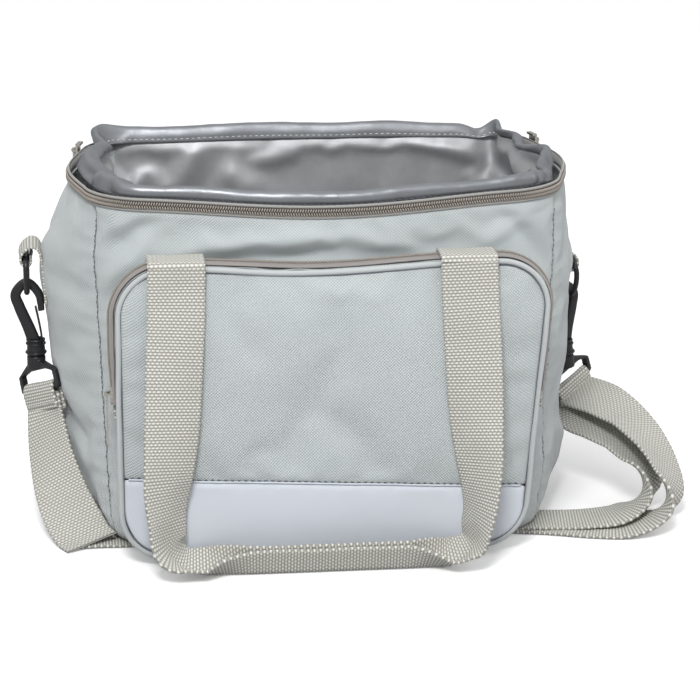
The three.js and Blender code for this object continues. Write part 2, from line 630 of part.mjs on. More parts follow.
// ---------------------------------------------------------------- swivel clips
// Clip frame: origin on the ring's straight bar, +X away from the bag, +Z up.
function ringBody() {
  const w = CLIP.tabWidth / 2 + 1.6 + CLIP.ringRod;
  const d = CLIP.ringDrop;
  const path = [[0, -w + 3, 0], [0, 0, 0], [0, w - 3, 0], [0, w, -3.5], [0, w - 2.5, -d * 0.55],
    [0, w - 9, -d * 0.88], [0, 0, -d], [0, -w + 9, -d * 0.88], [0, -w + 2.5, -d * 0.55], [0, -w, -3.5]];
  return sweep(path, round(CLIP.ringRod, 6), [1, 0, 0], { steps: 26, closed: true });
}
function hookBody() {
  const path = [[-5, 0, -61], [-0.5, 0, -50], [5.5, 0, -36], [7, 0, -27], [0, 0, -19.8],
    [-7.4, 0, -27], [-9.3, 0, -35], [-9.6, 0, -39.5]];
  const hook = sweep(path, () => bar(4.6, 5), [0, 1, 0], { steps: 18 });
  const collar = solid(new THREE.CylinderGeometry(6, 6.8, 11, 12).rotateX(Math.PI / 2).translate(-5, 0, -66));
  const pin = solid(new THREE.CylinderGeometry(2.4, 2.4, 10, 10).rotateX(Math.PI / 2).translate(-5, 0, -75.4));
  const seat = solid(box(-13, -7.2, -2.6, 2.6, -64, -57.5)); // room for the foot of the gate
  return join(hook, collar, pin).subtract(seat);
}
function gateBody() {
  const path = [[-9.4, 0, -63], [-9, 0, -56], [-7.4, 0, -46], [-5.6, 0, -36.5]];
  return sweep(path, () => bar(1.4, 4), [0, 1, 0], { steps: 6 });
}
function baseBody(yaw, roll) {
  const boss = solid(new THREE.CylinderGeometry(6.6, 6.6, 9.2, 12).rotateX(Math.PI / 2).translate(0, 0, -4.6));
  const bore = solid(new THREE.CylinderGeometry(2.8, 2.8, 10, 12).rotateX(Math.PI / 2).translate(0, 0, -3.9));
  const outline = new THREE.Shape();
  [[-9, 0], [-24, -8], [-24.5, -19], [-22.5, -20.5], [22.5, -20.5], [24.5, -19], [24, -8], [9, 0]]
    .forEach(([a, b], i) => (i ? outline.lineTo(a, b) : outline.moveTo(a, b)));
  const slot = new THREE.Path();
  [[-20.5, -8], [-20.5, -16.2], [20.5, -16.2], [20.5, -8], [12, -5.6], [-12, -5.6]]
    .forEach(([a, b], i) => (i ? slot.lineTo(a, b) : slot.moveTo(a, b)));
  outline.holes.push(slot);
  const frame = new THREE.ExtrudeGeometry(outline, { depth: 5, bevelEnabled: false, steps: 1 })
    .translate(0, 0, -2.5).rotateX(Math.PI / 2).rotateY(degToRad(roll)).translate(0, 0, -5.5)
    .rotateZ(degToRad(yaw));
  return join(boss, solid(frame)).subtract(bore);
}
function tabBody(foot) {
  const wall = -CLIP.standOff;
  const path = [[wall + foot + 1, -30], [wall + 1.1, 0], [wall + 3.4, 7.4], [wall + 7.4, 9.8],
    [-0.6, 8.4], [3.4, 3.8], [3.6, -1.2], [1.4, -3.7], [-1.8, -3.5], [-3.5, -1], [-3.3, 2.2]];
  return solid(bentStrip(path, 1.4, CLIP.tabWidth).rotateX(Math.PI / 2));
}

// Where a clip hangs: a point of the side wall, the way out of it, and how far the wall leans in below.
function clipSeat({ side, y, bar }) {
  const on = (v, z) =>
    skin(station(side, v / (BODY.halfDepthRim - BODY.cornerRadius), side < 0 ? 180 : 0), z, 0);
  const half = CLIP.tabWidth / 2;
  const along = on(y + half, bar).sub(on(y - half, bar));
  const out = new THREE.Vector3(side * along.y, -side * along.x, 0).normalize();
  const wall = on(y, bar);
  const foot = Math.max(...[y - half, y, y + half].map((v) => on(v, bar - 30).sub(wall).dot(out)));
  return { out, origin: wall.clone().addScaledVector(out, CLIP.standOff), foot };
}

function addClip(name, clip) {
  const { out, origin, foot } = clipSeat(clip);
  const upright = new THREE.Group();
  upright.position.copy(origin);
  upright.rotation.z = Math.atan2(out.y, out.x);
  const hanging = new THREE.Group();
  hanging.rotation.y = -degToRad(clip.lean);
  const axis = new THREE.Group();
  axis.position.x = -5;
  axis.rotation.z = degToRad(clip.hookYaw);
  const hookFrame = new THREE.Group();
  hookFrame.position.x = 5;
  const base = new THREE.Group();
  base.position.set(-5, 0, -72);
  bag.add(upright.add(hanging.add(axis.add(hookFrame), base)));
  place(`${name}_ring_tab`, tabBody(foot), webbingCloth, upright);
  place(`${name}_d_ring`, ringBody(), blackPlastic, hanging);
  place(`${name}_hook`, hookBody(), blackPlastic, hookFrame);
  place(`${name}_gate`, gateBody(), blackPlastic, hookFrame);
  place(`${name}_swivel_base`, baseBody(clip.baseYaw, clip.baseRoll), blackPlastic, base);
}

// ---------------------------------------------------------------- shoulder strap
function addStrap() {
  const floor = WEBBING.thickness / 2 + FLOOR;
  const second = floor + WEBBING.thickness + 0.3;
  const across = [0, 1, 0];
  const left = ribbon([
    [[-193.4, -6.4, 87.6], [0.52, -0.77, 0.34]], [[-191, -14, 70], [0.52, -0.8, 0.2]],
    [[-186, -29, 48], [0.55, -0.82, 0.1]], [[-180, -49, 27], [0.7, -0.7, 0]],
    [[-173, -67, 12], [0.93, -0.35, 0]], [[-168, -79, 4.8], [1, 0, 0]], [[-165, -85, floor], [1, 0, 0]],
  ], 18);
  const under = solid(box(-184, -140, -86, -48, floor - 0.9, floor + 0.9));
  const outer = ribbon([
    [[-150, -67, floor], across], [[0, -67, floor], across], [[120, -67, floor], across],
    [[154, -73, floor], across], [[186, -84, floor + 0.2], across], [[212, -89, 3], across],
    [[234, -85, 13], [0.25, 0.95, 0.1]], [[243.5, -70, 28], [0.55, 0.8, -0.2]],
    [[238, -45, 45], [0.45, 0.85, 0]], [[227, -14, 57], [0.4, 0.9, 0.1]],
    [[210.5, 17.5, 64], [0.5, 0.8, 0.3]], [[194.1, 45.3, 63.9], [0.686, 0.663, 0.3]],
  ], 46);
  const inner = ribbon([
    [[98, -67, second], across], [[130, -67, second], across], [[157, -69, second], across],
    [[185, -72, second + 0.9], across], [[207, -72, 7], across], [[224, -64, 16], [0.25, 0.95, 0.1]],
    [[230, -48, 30], [0.5, 0.85, 0]], [[222, -22, 41], [0.4, 0.9, 0.1]], [[209, 2, 47], [0.5, 0.8, 0.2]],
    [[198, 20, 50], [0.55, 0.75, 0.3]], [[192.5, 33, 54.5], [0.65, 0.7, 0.3]],
    [[193, 43.3, 60.4], [0.686, 0.663, 0.3]],
  ], 34);
  const strap = join(left, under, outer, inner);
  place("shoulder_strap", strap, webbingCloth);
  const frame = solid(box(62, 97, -89, -45, floor + 1.2, floor + 3.2));
  const slots = [[66, 76.5], [82, 92.5]].map(([x0, x1]) => solid(box(x0, x1, -86.5, -47.5, 0, 9)));
  const adjuster = slots.reduce((body, slot) => body.subtract(slot), frame);
  place("strap_adjuster", adjuster, blackPlastic);
}

addWalls();
addBase();
addLining();
addBodyZip();
addLid();
addMainSliders();
addPocket();
addHandles();
addClip("left", CLIP.left);
addClip("right", CLIP.right);
addStrap();

export default bag;
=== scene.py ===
"""Insulated cooler bag: the looks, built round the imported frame. Lengths are millimetres until a mesh is made."""
import math

import bpy
import numpy as np
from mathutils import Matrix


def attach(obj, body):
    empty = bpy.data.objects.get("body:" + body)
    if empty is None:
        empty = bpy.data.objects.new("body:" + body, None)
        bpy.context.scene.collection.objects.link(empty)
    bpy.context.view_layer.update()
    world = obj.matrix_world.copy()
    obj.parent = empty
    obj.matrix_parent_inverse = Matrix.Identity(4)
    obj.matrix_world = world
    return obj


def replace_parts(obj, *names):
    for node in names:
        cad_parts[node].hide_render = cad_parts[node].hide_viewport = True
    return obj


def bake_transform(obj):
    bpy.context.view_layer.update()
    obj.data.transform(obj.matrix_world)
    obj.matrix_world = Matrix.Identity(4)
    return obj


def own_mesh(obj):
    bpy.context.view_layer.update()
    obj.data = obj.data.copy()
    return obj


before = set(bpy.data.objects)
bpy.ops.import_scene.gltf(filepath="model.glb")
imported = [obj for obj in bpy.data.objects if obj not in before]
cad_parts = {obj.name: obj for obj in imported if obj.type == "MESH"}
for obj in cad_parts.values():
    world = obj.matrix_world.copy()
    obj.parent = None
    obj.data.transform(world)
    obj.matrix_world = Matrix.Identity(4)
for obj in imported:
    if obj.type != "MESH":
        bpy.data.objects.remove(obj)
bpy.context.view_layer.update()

MM = 0.001
TAU = 2 * math.pi
UP = np.array([0.0, 0.0, 1.0])
BACK = np.array([0.0, 1.0, 0.0])

# ---------------------------------------------------------------- the shape of the bag, as in the CAD part
BODY = {
    "half_width": (150.0, 157.0),
    "half_depth": (96.0, 98.0),
    "corner": 34.0,
    "base_radius": 14.0,
    "panel_top": 237.0,
    "coil": 244.0,
    "rise": 3.0,
}
BULGE = {
    "left": ((0, 4), (30, 20), (70, 27), (130, 33), (190, 35), (238, 15)),
    "right": ((0, 5), (40, 23), (75, 20), (120, 23), (175, 25), (238, 17)),
    "front": ((0, 4), (120, 8), (238, 12)),
    "back": ((0, 3), (120, 6), (238, 4)),
}
SEAM = 20.0  # the corner seams lie this many degrees round from the side walls
REAR_HALF_WIDTH = 120.0  # of the lid's rear wall
POCKET = {
    "x": 0.5,
    "half_width": 145.5,
    "taper": 12.0,  # the right edge comes in this far, going down
    "bottom": 4.8,
    "top": 208.0,
    "corner": 34.0,
    "front": -126.0,
    "band": 55.0,  # top of the smooth lower band
    "band_tilt": 0.049,
    "piping": 1.9,
    "zip_end": 112.0,  # both ends of the pocket zip
}
FLOOR = 0.2  # webbing that lies on the ground keeps this height
WEBBING_WIDTH = 38.0
NUB_ROW = 2.1  # length of webbing that one row of nubs takes
WALL_TOP = 238.7
COIL_Z = 242.1
CLOTH_FRAMES = 20  # length of each cloth run
CLOTH_THICK, TAPE_THICK = 1.2, 0.7
ZIP_STEP = 2.5
FOLD_Y, WALL_FOLD_Z, LID_FOLD_Z = 103.0, 242.5, 265.6  # the lid's two fold lines, when shut
WALL_THROWN, LID_THROWN = -172, -94  # how far each is thrown open, in degrees


def between(pairs, at):
    """Values between the given (height, value) pairs, easing from one to the next."""
    heights, values = np.array(pairs, float).T
    at = np.clip(at, heights[0], heights[-1])
    i = np.clip(np.searchsorted(heights, at, side="right") - 1, 0, len(heights) - 2)
    share = (at - heights[i]) / (heights[i + 1] - heights[i])
    return values[i] + (values[i + 1] - values[i]) * (1 - np.cos(math.pi * share)) / 2


def hump(share):
    """1 in the middle, easing to 0 at -1 and 1."""
    return np.cos(math.pi / 2 * np.clip(share, -1, 1)) ** 2


def smoothstep(x, low, high):
    t = np.clip((x - low) / (high - low), 0, 1)
    return t * t * (3 - 2 * t)


def unit(vectors):
    """The vectors made one long, along the last axis."""
    return vectors / np.maximum(np.linalg.norm(vectors, axis=-1, keepdims=True), 1e-9)


def outward(stations):
    """The level way out of the bag at stations of its outline."""
    return np.stack([np.cos(stations[:, 2]), np.sin(stations[:, 2]), 0 * stations[:, 2]], -1)


def skin(stations, height, inset=0.0):
    """Points of the outer face at stations (n, 3: u, v, radians) and heights, both broadcast."""
    u, v, angle = stations[..., 0], stations[..., 1], stations[..., 2]
    height = np.asarray(height, float)
    share = np.clip(height / BODY["coil"], 0, 1)
    half_width = BODY["half_width"][0] + (BODY["half_width"][1] - BODY["half_width"][0]) * share
    half_depth = BODY["half_depth"][0] + (BODY["half_depth"][1] - BODY["half_depth"][0]) * share
    r = BODY["base_radius"]
    low = np.clip(r - np.maximum(height, 0), 0, r)
    tuck = r - np.sqrt(r * r - low * low)
    out_x, out_y = np.cos(angle), np.sin(angle)
    x = u * (half_width - BODY["corner"]) + BODY["corner"] * out_x
    y = v * (half_depth - BODY["corner"]) + BODY["corner"] * out_y
    side = np.where(x < 0, between(BULGE["left"], height), between(BULGE["right"], height))
    end = np.where(y < 0, between(BULGE["front"], height), between(BULGE["back"], height))
    side_share = smoothstep(np.abs(x) / half_width, 0.6, 0.92)
    end_share = smoothstep(np.abs(y) / half_depth, 0.55, 0.9)
    rise = smoothstep(height, 170, BODY["panel_top"]) * BODY["rise"]
    dip = 2 * hump(x / half_width) * smoothstep(-y, 40, 92)
    return np.stack([
        x - (inset + tuck) * out_x + np.sign(x) * side * hump(y / half_depth) * side_share,
        y - (inset + tuck) * out_y + np.sign(y) * end * hump(x / half_width) * end_share,
        height + rise * (1 - dip) + 0 * x], -1)


def arc(u, v, start, stop, step):
    count = max(2, int(round(math.radians(abs(stop - start)) * BODY["corner"] / step)))
    angles = np.radians(np.linspace(start, stop, count + 1))
    return np.stack([np.full_like(angles, u), np.full_like(angles, v), angles], -1)


def straight(u0, v0, u1, v1, degrees, step):
    length = abs(u1 - u0) * 120 + abs(v1 - v0) * 63
    count = int(round(length / step))
    t = np.linspace(0, 1, count + 1)
    return np.stack([u0 + (u1 - u0) * t, v0 + (v1 - v0) * t, np.full_like(t, math.radians(degrees))], -1)


def chain(*runs):
    return np.concatenate([runs[0]] + [run[1:] for run in runs[1:]])


WALLS = {  # the corners a wall runs between, as u, v, and its first, middle and last facing in degrees
    "front": (-1, -1, 1, -1, 180 + SEAM, 270, 360 - SEAM),
    "right": (1, -1, 1, 1, -SEAM, 0, SEAM),
    "back": (1, 1, -1, 1, SEAM, 90, 180 - SEAM),
    "left": (-1, 1, -1, -1, 180 - SEAM, 180, 180 + SEAM),
}


def wall(name, step):
    """Stations of one wall, from seam to seam, the bag's inside to the left."""
    u0, v0, u1, v1, first, facing, last = WALLS[name]
    return chain(arc(u0, v0, first, facing, step), straight(u0, v0, u1, v1, facing, step),
                 arc(u1, v1, facing, last, step))


def whole_round(step):
    """All the way round from the left front seam, without repeating the first station."""
    return chain(*(wall(name, step) for name in WALLS))[:-1]


def zip_run(step):
    return chain(wall("left", step), wall("front", step), wall("right", step))


def tape_run(step):
    """The zip's run, with its tape carried on round the back corners to the lid's rear wall."""
    back = wall("back", step)
    x = skin(back, BODY["coil"])[:, 0]
    return chain(back[x < -REAR_HALF_WIDTH], zip_run(step), back[x > REAR_HALF_WIDTH])


# ---------------------------------------------------------------- numbers without chance
def waves(a, b, seed, length, count=9):
    """A smooth field of about unit height over the plane (a, b), with bumps about `length` across."""
    rng = np.random.default_rng(seed)
    total = np.zeros(np.broadcast(a, b).shape)
    for _ in range(count):
        turn, phase = rng.uniform(0, TAU, 2)
        size = length * rng.uniform(0.7, 1.6)
        total = total + np.sin(TAU * (a * math.cos(turn) + b * math.sin(turn)) / size + phase)
    return total / math.sqrt(count / 2) / 1.6


def fold(a, b, start, end, width, depth):
    """A soft crease from start to end in the plane (a, b): a ridge where depth is positive, fading at its ends."""
    p0, p1 = np.array(start, float), np.array(end, float)
    line = p1 - p0
    length = np.linalg.norm(line)
    t = ((a - p0[0]) * line[0] + (b - p0[1]) * line[1]) / length ** 2
    across = ((a - p0[0]) * line[1] - (b - p0[1]) * line[0]) / length
    fade = smoothstep(t, -0.15, 0.25) * (1 - smoothstep(t, 0.7, 1.15))
    return depth * fade * np.exp(-(across / width) ** 2)


def folds(a, b, creases):
    """Several creases, each as (start, end, width, depth), added up."""
    return sum(fold(a, b, *crease) for crease in creases)


def normals_of(points, closed=False):
    """Unit normals of a grid of points."""
    if closed:
        du = np.roll(points, -1, 0) - np.roll(points, 1, 0)
    else:
        du = np.gradient(points, axis=0)
    return unit(np.cross(du, np.gradient(points, axis=1)))


def lengths(points, axis=0):
    """Distance run along a grid's axis, in metres."""
    steps = np.linalg.norm(np.diff(points, axis=axis), axis=-1)
    pad = [(0, 0)] * steps.ndim
    pad[axis] = (1, 0)
    return np.cumsum(np.pad(steps, pad), axis=axis) * MM


# ---------------------------------------------------------------- meshes
def make(name, verts, faces, uvs=None, material=None, body="bag", slot=None, smooth=True):
    mesh = bpy.data.meshes.new(name)
    mesh.from_pydata((np.asarray(verts, float).reshape(-1, 3) * MM).tolist(), [], faces)
    if uvs is not None:
        layer = mesh.uv_layers.new(name="UVMap")
        layer.data.foreach_set("uv", np.asarray(uvs, np.float32).ravel())
    mesh.polygons.foreach_set("use_smooth", [smooth] * len(mesh.polygons))
    mesh.update()
    obj = bpy.data.objects.new(name, mesh)
    bpy.context.scene.collection.objects.link(obj)
    if material:
        mesh.materials.append(material)
    if body:
        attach(obj, body)
    return obj


def grid(name, points, uv, closed=False, flip=False, **more):
    """A sheet over a grid of points. uv has one more row than points when the grid closes on itself."""
    nu, nv = points.shape[:2]
    i, j = np.meshgrid(np.arange(nu if closed else nu - 1), np.arange(nv - 1), indexing="ij")
    i, j = i.ravel(), j.ravel()
    corners = [(i, j), (i + 1, j), (i + 1, j + 1), (i, j + 1)]
    if flip:
        corners.reverse()
    faces = np.stack([(a % nu) * nv + b for a, b in corners], -1)
    loops = np.stack([uv[a, b] for a, b in corners], 1)
    return make(name, points, faces.tolist(), loops.reshape(-1, 2), **more)


def uv_of(points, closed=False):
    """Lengths along both ways of a grid, in metres, as UVs."""
    ring = np.concatenate([points, points[:1]]) if closed else points
    u = lengths(ring, 0).mean(1, keepdims=True) + np.zeros(ring.shape[:2])
    v = lengths(ring, 1)
    return np.stack([u, v], -1)


def thicken(obj, thickness, offset=-1.0):
    """Gives a sheet its thickness, inwards (-1) or to both sides (0)."""
    solidify = obj.modifiers.new("thickness", "SOLIDIFY")
    solidify.thickness, solidify.offset = thickness * MM, offset
    return obj


def soften(obj):
    subdivision = obj.modifiers.new("soften", "SUBSURF")
    subdivision.levels = subdivision.render_levels = 1
    return obj


def loft(name, rings, uv, closed=False, caps_turned=False, cap_uv=0.0, **more):
    """A closed skin over rings of points. uv has one more column than the rings, and one more row when the line
    of rings closes on itself. Otherwise its two ends get caps."""
    n, count = rings.shape[:2]
    i, j = np.meshgrid(np.arange(n if closed else n - 1), np.arange(count), indexing="ij")
    i, j = i.ravel(), j.ravel()
    corners = [(i, j), (i, j + 1), (i + 1, j + 1), (i + 1, j)]
    faces = np.stack([(p % n) * count + q % count for p, q in corners], -1).tolist()
    loops = np.stack([uv[p, q] for p, q in corners], 1).reshape(-1, 2).tolist()
    if not closed:
        first, last = list(range(count)), list(range((n - 1) * count, n * count))
        faces += [first, last[::-1]] if caps_turned else [first[::-1], last]
        loops += [[cap_uv, cap_uv]] * (2 * count)
    return make(name, rings, faces, loops, **more)


def hold(obj, weights):
    """A vertex group that pins the sheet, in steps of a hundredth."""
    group = obj.vertex_groups.new(name="held")
    steps = np.round(weights, 2)
    for weight in np.unique(steps[steps > 0]):
        group.add(np.nonzero(steps == weight)[0].tolist(), float(weight), "REPLACE")
    return group


def vertices_of(mesh):
    return np.array([v.co for v in mesh.vertices], float)


def cloth_run(obj, pressure, shrink, stiffness):
    """Lets the sheet settle for some frames, and gives how far each point moved, in metres."""
    cloth = obj.modifiers.new("cloth", "CLOTH")
    s = cloth.settings
    s.quality = 5
    s.mass = 0.25
    s.tension_stiffness = s.compression_stiffness = stiffness
    s.shear_stiffness = stiffness / 3
    s.bending_stiffness = 3.0
    s.vertex_group_mass = "held"
    s.pin_stiffness = 5
    s.shrink_min = shrink
    s.use_pressure = pressure != 0
    s.uniform_pressure_force = pressure
    s.effector_weights.gravity = 0
    cloth.collision_settings.use_collision = False
    cloth.collision_settings.use_self_collision = False
    cloth.point_cache.frame_start, cloth.point_cache.frame_end = 1, CLOTH_FRAMES
    scene = bpy.context.scene
    for frame_number in range(1, CLOTH_FRAMES + 1):
        scene.frame_set(frame_number)
    settled = obj.evaluated_get(bpy.context.evaluated_depsgraph_get())
    moved = vertices_of(settled.to_mesh()) - vertices_of(obj.data)
    settled.to_mesh_clear()
    obj.modifiers.remove(cloth)
    scene.frame_set(1)
    return moved


def drape(obj, weights, cap, pressure=0.0, shrink=-0.01, stiffness=20.0, out=None, reach=None):
    """A short cloth run with its result kept in the mesh. Points of weight 1 stay where they are, none moves
    further than cap, and along the normals `out` none moves outside reach."""
    group = hold(obj, weights.ravel())
    moved = cloth_run(obj, pressure, shrink, stiffness)
    obj.vertex_groups.remove(group)
    size = np.linalg.norm(moved, axis=1, keepdims=True)
    limit = cap * MM
    moved *= limit * np.tanh(size / limit) / np.maximum(size, 1e-9)
    if out is not None:
        out = out.reshape(-1, 3)
        along = (moved * out).sum(1, keepdims=True)
        moved += out * (np.clip(along, reach[0] * MM, reach[1] * MM) - along)
    settled = vertices_of(obj.data) + moved
    obj.data.vertices.foreach_set("co", settled.astype(np.float32).ravel())
    obj.data.update()


def lift_points(obj, shape):
    """The points of a draped sheet in millimetres, as a grid again. The sheet itself goes."""
    points = vertices_of(obj.data).reshape(*shape, 3) / MM
    bpy.data.objects.remove(obj)
    return points


def catmull(points, spacing):
    """Evenly spaced points on a curve through the given ones, and the share of the way at each."""
    p = np.array(points, float)
    ends = np.concatenate([[2 * p[0] - p[1]], p, [2 * p[-1] - p[-2]]])
    dense, at = [], []
    for i in range(len(p) - 1):
        t = np.linspace(0, 1, 40, endpoint=i == len(p) - 2)[:, None]
        a, b, c, d = ends[i:i + 4]
        dense.append(0.5 * (2 * b + (c - a) * t + (2 * a - 5 * b + 4 * c - d) * t ** 2
                            + (3 * b - a - 3 * c + d) * t ** 3))
        at.append(i + t[:, 0])
    dense, at = np.concatenate(dense), np.concatenate(at)
    run = lengths(dense[:, None], 0)[:, 0] / MM
    count = max(2, int(round(run[-1] / spacing)))
    even = np.linspace(0, run[-1], count + 1)
    out = np.stack([np.interp(even, run, dense[:, k]) for k in range(3)], -1)
    return out, np.interp(even, run, at)


def tube(name, centres, radius, sides, closed=False, **more):
    """A round bead along a line of points."""
    if closed:
        along = unit(np.roll(centres, -1, 0) - np.roll(centres, 1, 0))
    else:
        along = unit(np.gradient(centres, axis=0))
    a = unit(np.cross(along, (0.03, 1.0, 0.05)))  # nearly the Y axis, which no bead of the bag follows
    b = np.cross(along, a)
    turn = np.linspace(0, TAU, sides + 1)[:-1, None]
    rings = centres[:, None] + radius * (np.cos(turn) * a[:, None] + np.sin(turn) * b[:, None])
    run = lengths(np.concatenate([centres, centres[:1]])[:, None], 0)
    girth = np.arange(sides + 1)[None] * MM * 6 / sides
    return loft(name, rings, np.stack([run + 0 * girth, girth + 0 * run], -1), closed, **more)


def beads(name, centres, along, out, size, **more):
    """Many small eight-sided grains in one mesh: size is (length along, height across, depth out)."""
    across = unit(np.cross(out, along))
    length, height, depth = (s / 2 for s in size)
    rings = []
    for t, scale in ((-1, 0.45), (-0.55, 1.0), (0.55, 1.0), (1, 0.45)):
        for p, q in ((-1, -1), (1, -1), (1, 1), (-1, 1)):
            rings.append(centres + along * length * t + (across * height * p + out * depth * q) * scale)
    faces = [[3, 2, 1, 0], [12, 13, 14, 15]]
    for r in range(3):
        for k in range(4):
            faces.append([r * 4 + k, r * 4 + (k + 1) % 4, (r + 1) * 4 + (k + 1) % 4, (r + 1) * 4 + k])
    every = (np.array(faces)[None] + 16 * np.arange(len(centres))[:, None, None]).reshape(-1, 4)
    return make(name, np.stack(rings, 1), every.tolist(), **more)


def resample(line, normals, pitch):
    """Points every `pitch` along a line, with their direction and their normal."""
    run = lengths(line[:, None], 0)[:, 0] / MM
    at = np.arange(pitch / 2, run[-1], pitch)
    pick = lambda values: np.stack([np.interp(at, run, values[:, k]) for k in range(3)], -1)
    points, normals = pick(line), pick(normals)
    along = unit(np.gradient(points, axis=0))
    return points, along, unit(normals - along * (normals * along).sum(1, keepdims=True))


def stitches(name, line, normals, material, length, gap, lift=0.15, width=0.75, **more):
    """A row of stitches that stand a little out of the cloth."""
    points, along, out = resample(line, normals, length + gap)
    return beads(name, points + out * lift, along, out, (length, width, 0.6), material=material, **more)


def coil(name, line, normals, pitch, height, **more):
    """Both rows of a coil zip: short grains that lean against each other."""
    points, along, out = resample(line, normals, pitch / 2)
    across = np.cross(out, along)
    side = np.where(np.arange(len(points)) % 2 == 0, 1.0, -1.0)[:, None]
    axis = unit(across + along * 0.35 * side)
    return beads(name, points + across * side * height * 0.48, axis, out, (height, pitch * 0.52, 1.4),
                 material=COIL, slot="zipper_coil", **more)


# ---------------------------------------------------------------- materials
def linear(color):
    c = np.array(color, float) / 255
    return tuple(np.where(c <= 0.04045, c / 12.92, ((c + 0.055) / 1.055) ** 2.4)) + (1.0,)


class Nodes:
    """A material's node tree, with short calls for the nodes used here."""

    def __init__(self, name):
        self.material = bpy.data.materials.new(name)
        self.material.use_nodes = True
        self.tree = self.material.node_tree
        self.shader = self.tree.nodes["Principled BSDF"]

    def put(self, socket, value):
        if isinstance(value, bpy.types.NodeSocket):
            self.tree.links.new(value, socket)
        else:
            socket.default_value = value

    def math(self, operation, a, b=0.0, c=None, clamp=False):
        node = self.tree.nodes.new("ShaderNodeMath")
        node.operation, node.use_clamp = operation, clamp
        self.put(node.inputs[0], a)
        self.put(node.inputs[1], b)
        if c is not None:
            self.put(node.inputs[2], c)
        return node.outputs[0]

    def uv(self):
        node = self.tree.nodes.new("ShaderNodeTexCoord")
        split = self.tree.nodes.new("ShaderNodeSeparateXYZ")
        self.put(split.inputs[0], node.outputs["UV"])
        return split.outputs[0], split.outputs[1]

    def noise(self, scale, detail=3.0, rough=0.5, distortion=0.0):
        node = self.tree.nodes.new("ShaderNodeTexNoise")
        self.put(node.inputs["Vector"], self.tree.nodes.new("ShaderNodeTexCoord").outputs["Object"])
        for key, value in (("Scale", scale), ("Detail", detail), ("Roughness", rough), ("Distortion", distortion)):
            node.inputs[key].default_value = value
        return node.outputs[0]

    def mix(self, share, a, b):
        node = self.tree.nodes.new("ShaderNodeMix")
        node.data_type = "RGBA"
        self.put(node.inputs[0], share)
        self.put(node.inputs[6], a)
        self.put(node.inputs[7], b)
        return node.outputs[2]

    def range(self, value, a0, a1, b0, b1):
        node = self.tree.nodes.new("ShaderNodeMapRange")
        for socket, v in zip(node.inputs, (value, a0, a1, b0, b1)):
            self.put(socket, v)
        return node.outputs[0]

    def bump(self, height, distance, strength=1.0, below=None):
        node = self.tree.nodes.new("ShaderNodeBump")
        self.put(node.inputs["Height"], height)
        node.inputs["Distance"].default_value = distance * MM
        node.inputs["Strength"].default_value = strength
        if below is not None:
            self.put(node.inputs["Normal"], below)
        return node.outputs[0]

    def finish(self, **sockets):
        names = {"color": "Base Color", "rough": "Roughness", "metal": "Metallic", "normal": "Normal",
                 "sheen": "Sheen Weight", "sheen_rough": "Sheen Roughness", "specular": "Specular IOR Level"}
        for key, value in sockets.items():
            self.put(self.shader.inputs[names[key]], value)
        return self.material


def shade(color, factor):
    return tuple(c * factor for c in color[:3]) + (1.0,)


def woven(name, color, pitch, depth, contrast, rough=0.82, wear=0.06):
    """Cloth with a fine weave: ribs slanting one way, crossed by fainter ones, uneven in tone."""
    n = Nodes(name)
    u, v = n.uv()
    size = pitch * MM
    p = n.math("DIVIDE", n.math("ADD", u, v), size)
    q = n.math("DIVIDE", n.math("SUBTRACT", u, v), size)
    threads = n.math("MULTIPLY_ADD", n.math("SINE", n.math("MULTIPLY", p, TAU)), 0.45,
                     n.math("MULTIPLY", n.math("SINE", n.math("MULTIPLY", q, TAU)), 0.55))
    grain = n.range(threads, -1, 1, 0, 1)
    slub = n.noise(2600, 2, 0.6)
    tone = n.mix(n.math("MULTIPLY_ADD", grain, 0.75, n.math("MULTIPLY", slub, 0.25)),
                 shade(color, 1 - contrast), shade(color, 1 + contrast))
    soil = n.range(n.noise(14, 4, 0.6), 0.35, 0.7, 0, 1)
    tone = n.mix(n.math("MULTIPLY", soil, wear * 2), tone, shade(color, 0.8))
    height = n.math("ADD", grain, n.math("MULTIPLY", slub, 0.5))
    soft = n.bump(n.noise(90, 3, 0.5), 0.8, 0.12)
    normal = n.bump(height, depth, 0.9, below=soft)
    return n.finish(color=tone, rough=n.range(grain, 0, 1, min(1, rough + 0.1), rough - 0.05), normal=normal,
                    sheen=0.25, sheen_rough=0.4, specular=0.3)


def webbed(name, ground, thread, nubs_across=13.0):
    """Webbing: rows of light nubs, each row set half a nub over, on a darker ground. U runs over the width."""
    n = Nodes(name)
    u, v = n.uv()
    row = n.math("DIVIDE", v, NUB_ROW * MM)
    odd = n.math("MODULO", n.math("FLOOR", row), 2.0)
    column = n.math("ADD", n.math("MULTIPLY", u, nubs_across), n.math("MULTIPLY", odd, 0.5))
    x = n.math("SUBTRACT", n.math("FRACT", column), 0.5)
    y = n.math("SUBTRACT", n.math("FRACT", row), 0.5)
    span = n.math("SQRT", n.math("ADD", n.math("POWER", n.math("MULTIPLY", x, 1.9), 2.0),
                                 n.math("POWER", n.math("MULTIPLY", y, 2.3), 2.0)))
    nub = n.math("SUBTRACT", 1.0, n.math("MINIMUM", span, 1.0))
    fibre = n.noise(1500, 3, 0.6)
    share = n.math("MULTIPLY", n.math("POWER", nub, 0.6), n.range(fibre, 0.2, 0.8, 0.75, 1.1), clamp=True)
    tone = n.mix(share, ground, thread)
    tone = n.mix(n.range(n.noise(30, 3), 0.35, 0.75, 0, 0.18), tone, shade(ground, 1.1))
    strand = n.math("SINE", n.math("MULTIPLY", n.math("ADD", column, n.math("MULTIPLY", row, 0.4)), TAU * 4))
    height = n.math("ADD", n.math("POWER", nub, 0.7), n.math("MULTIPLY", strand, 0.05))
    return n.finish(color=tone, rough=0.72, normal=n.bump(height, 0.5, 0.9), sheen=0.15, specular=0.35)


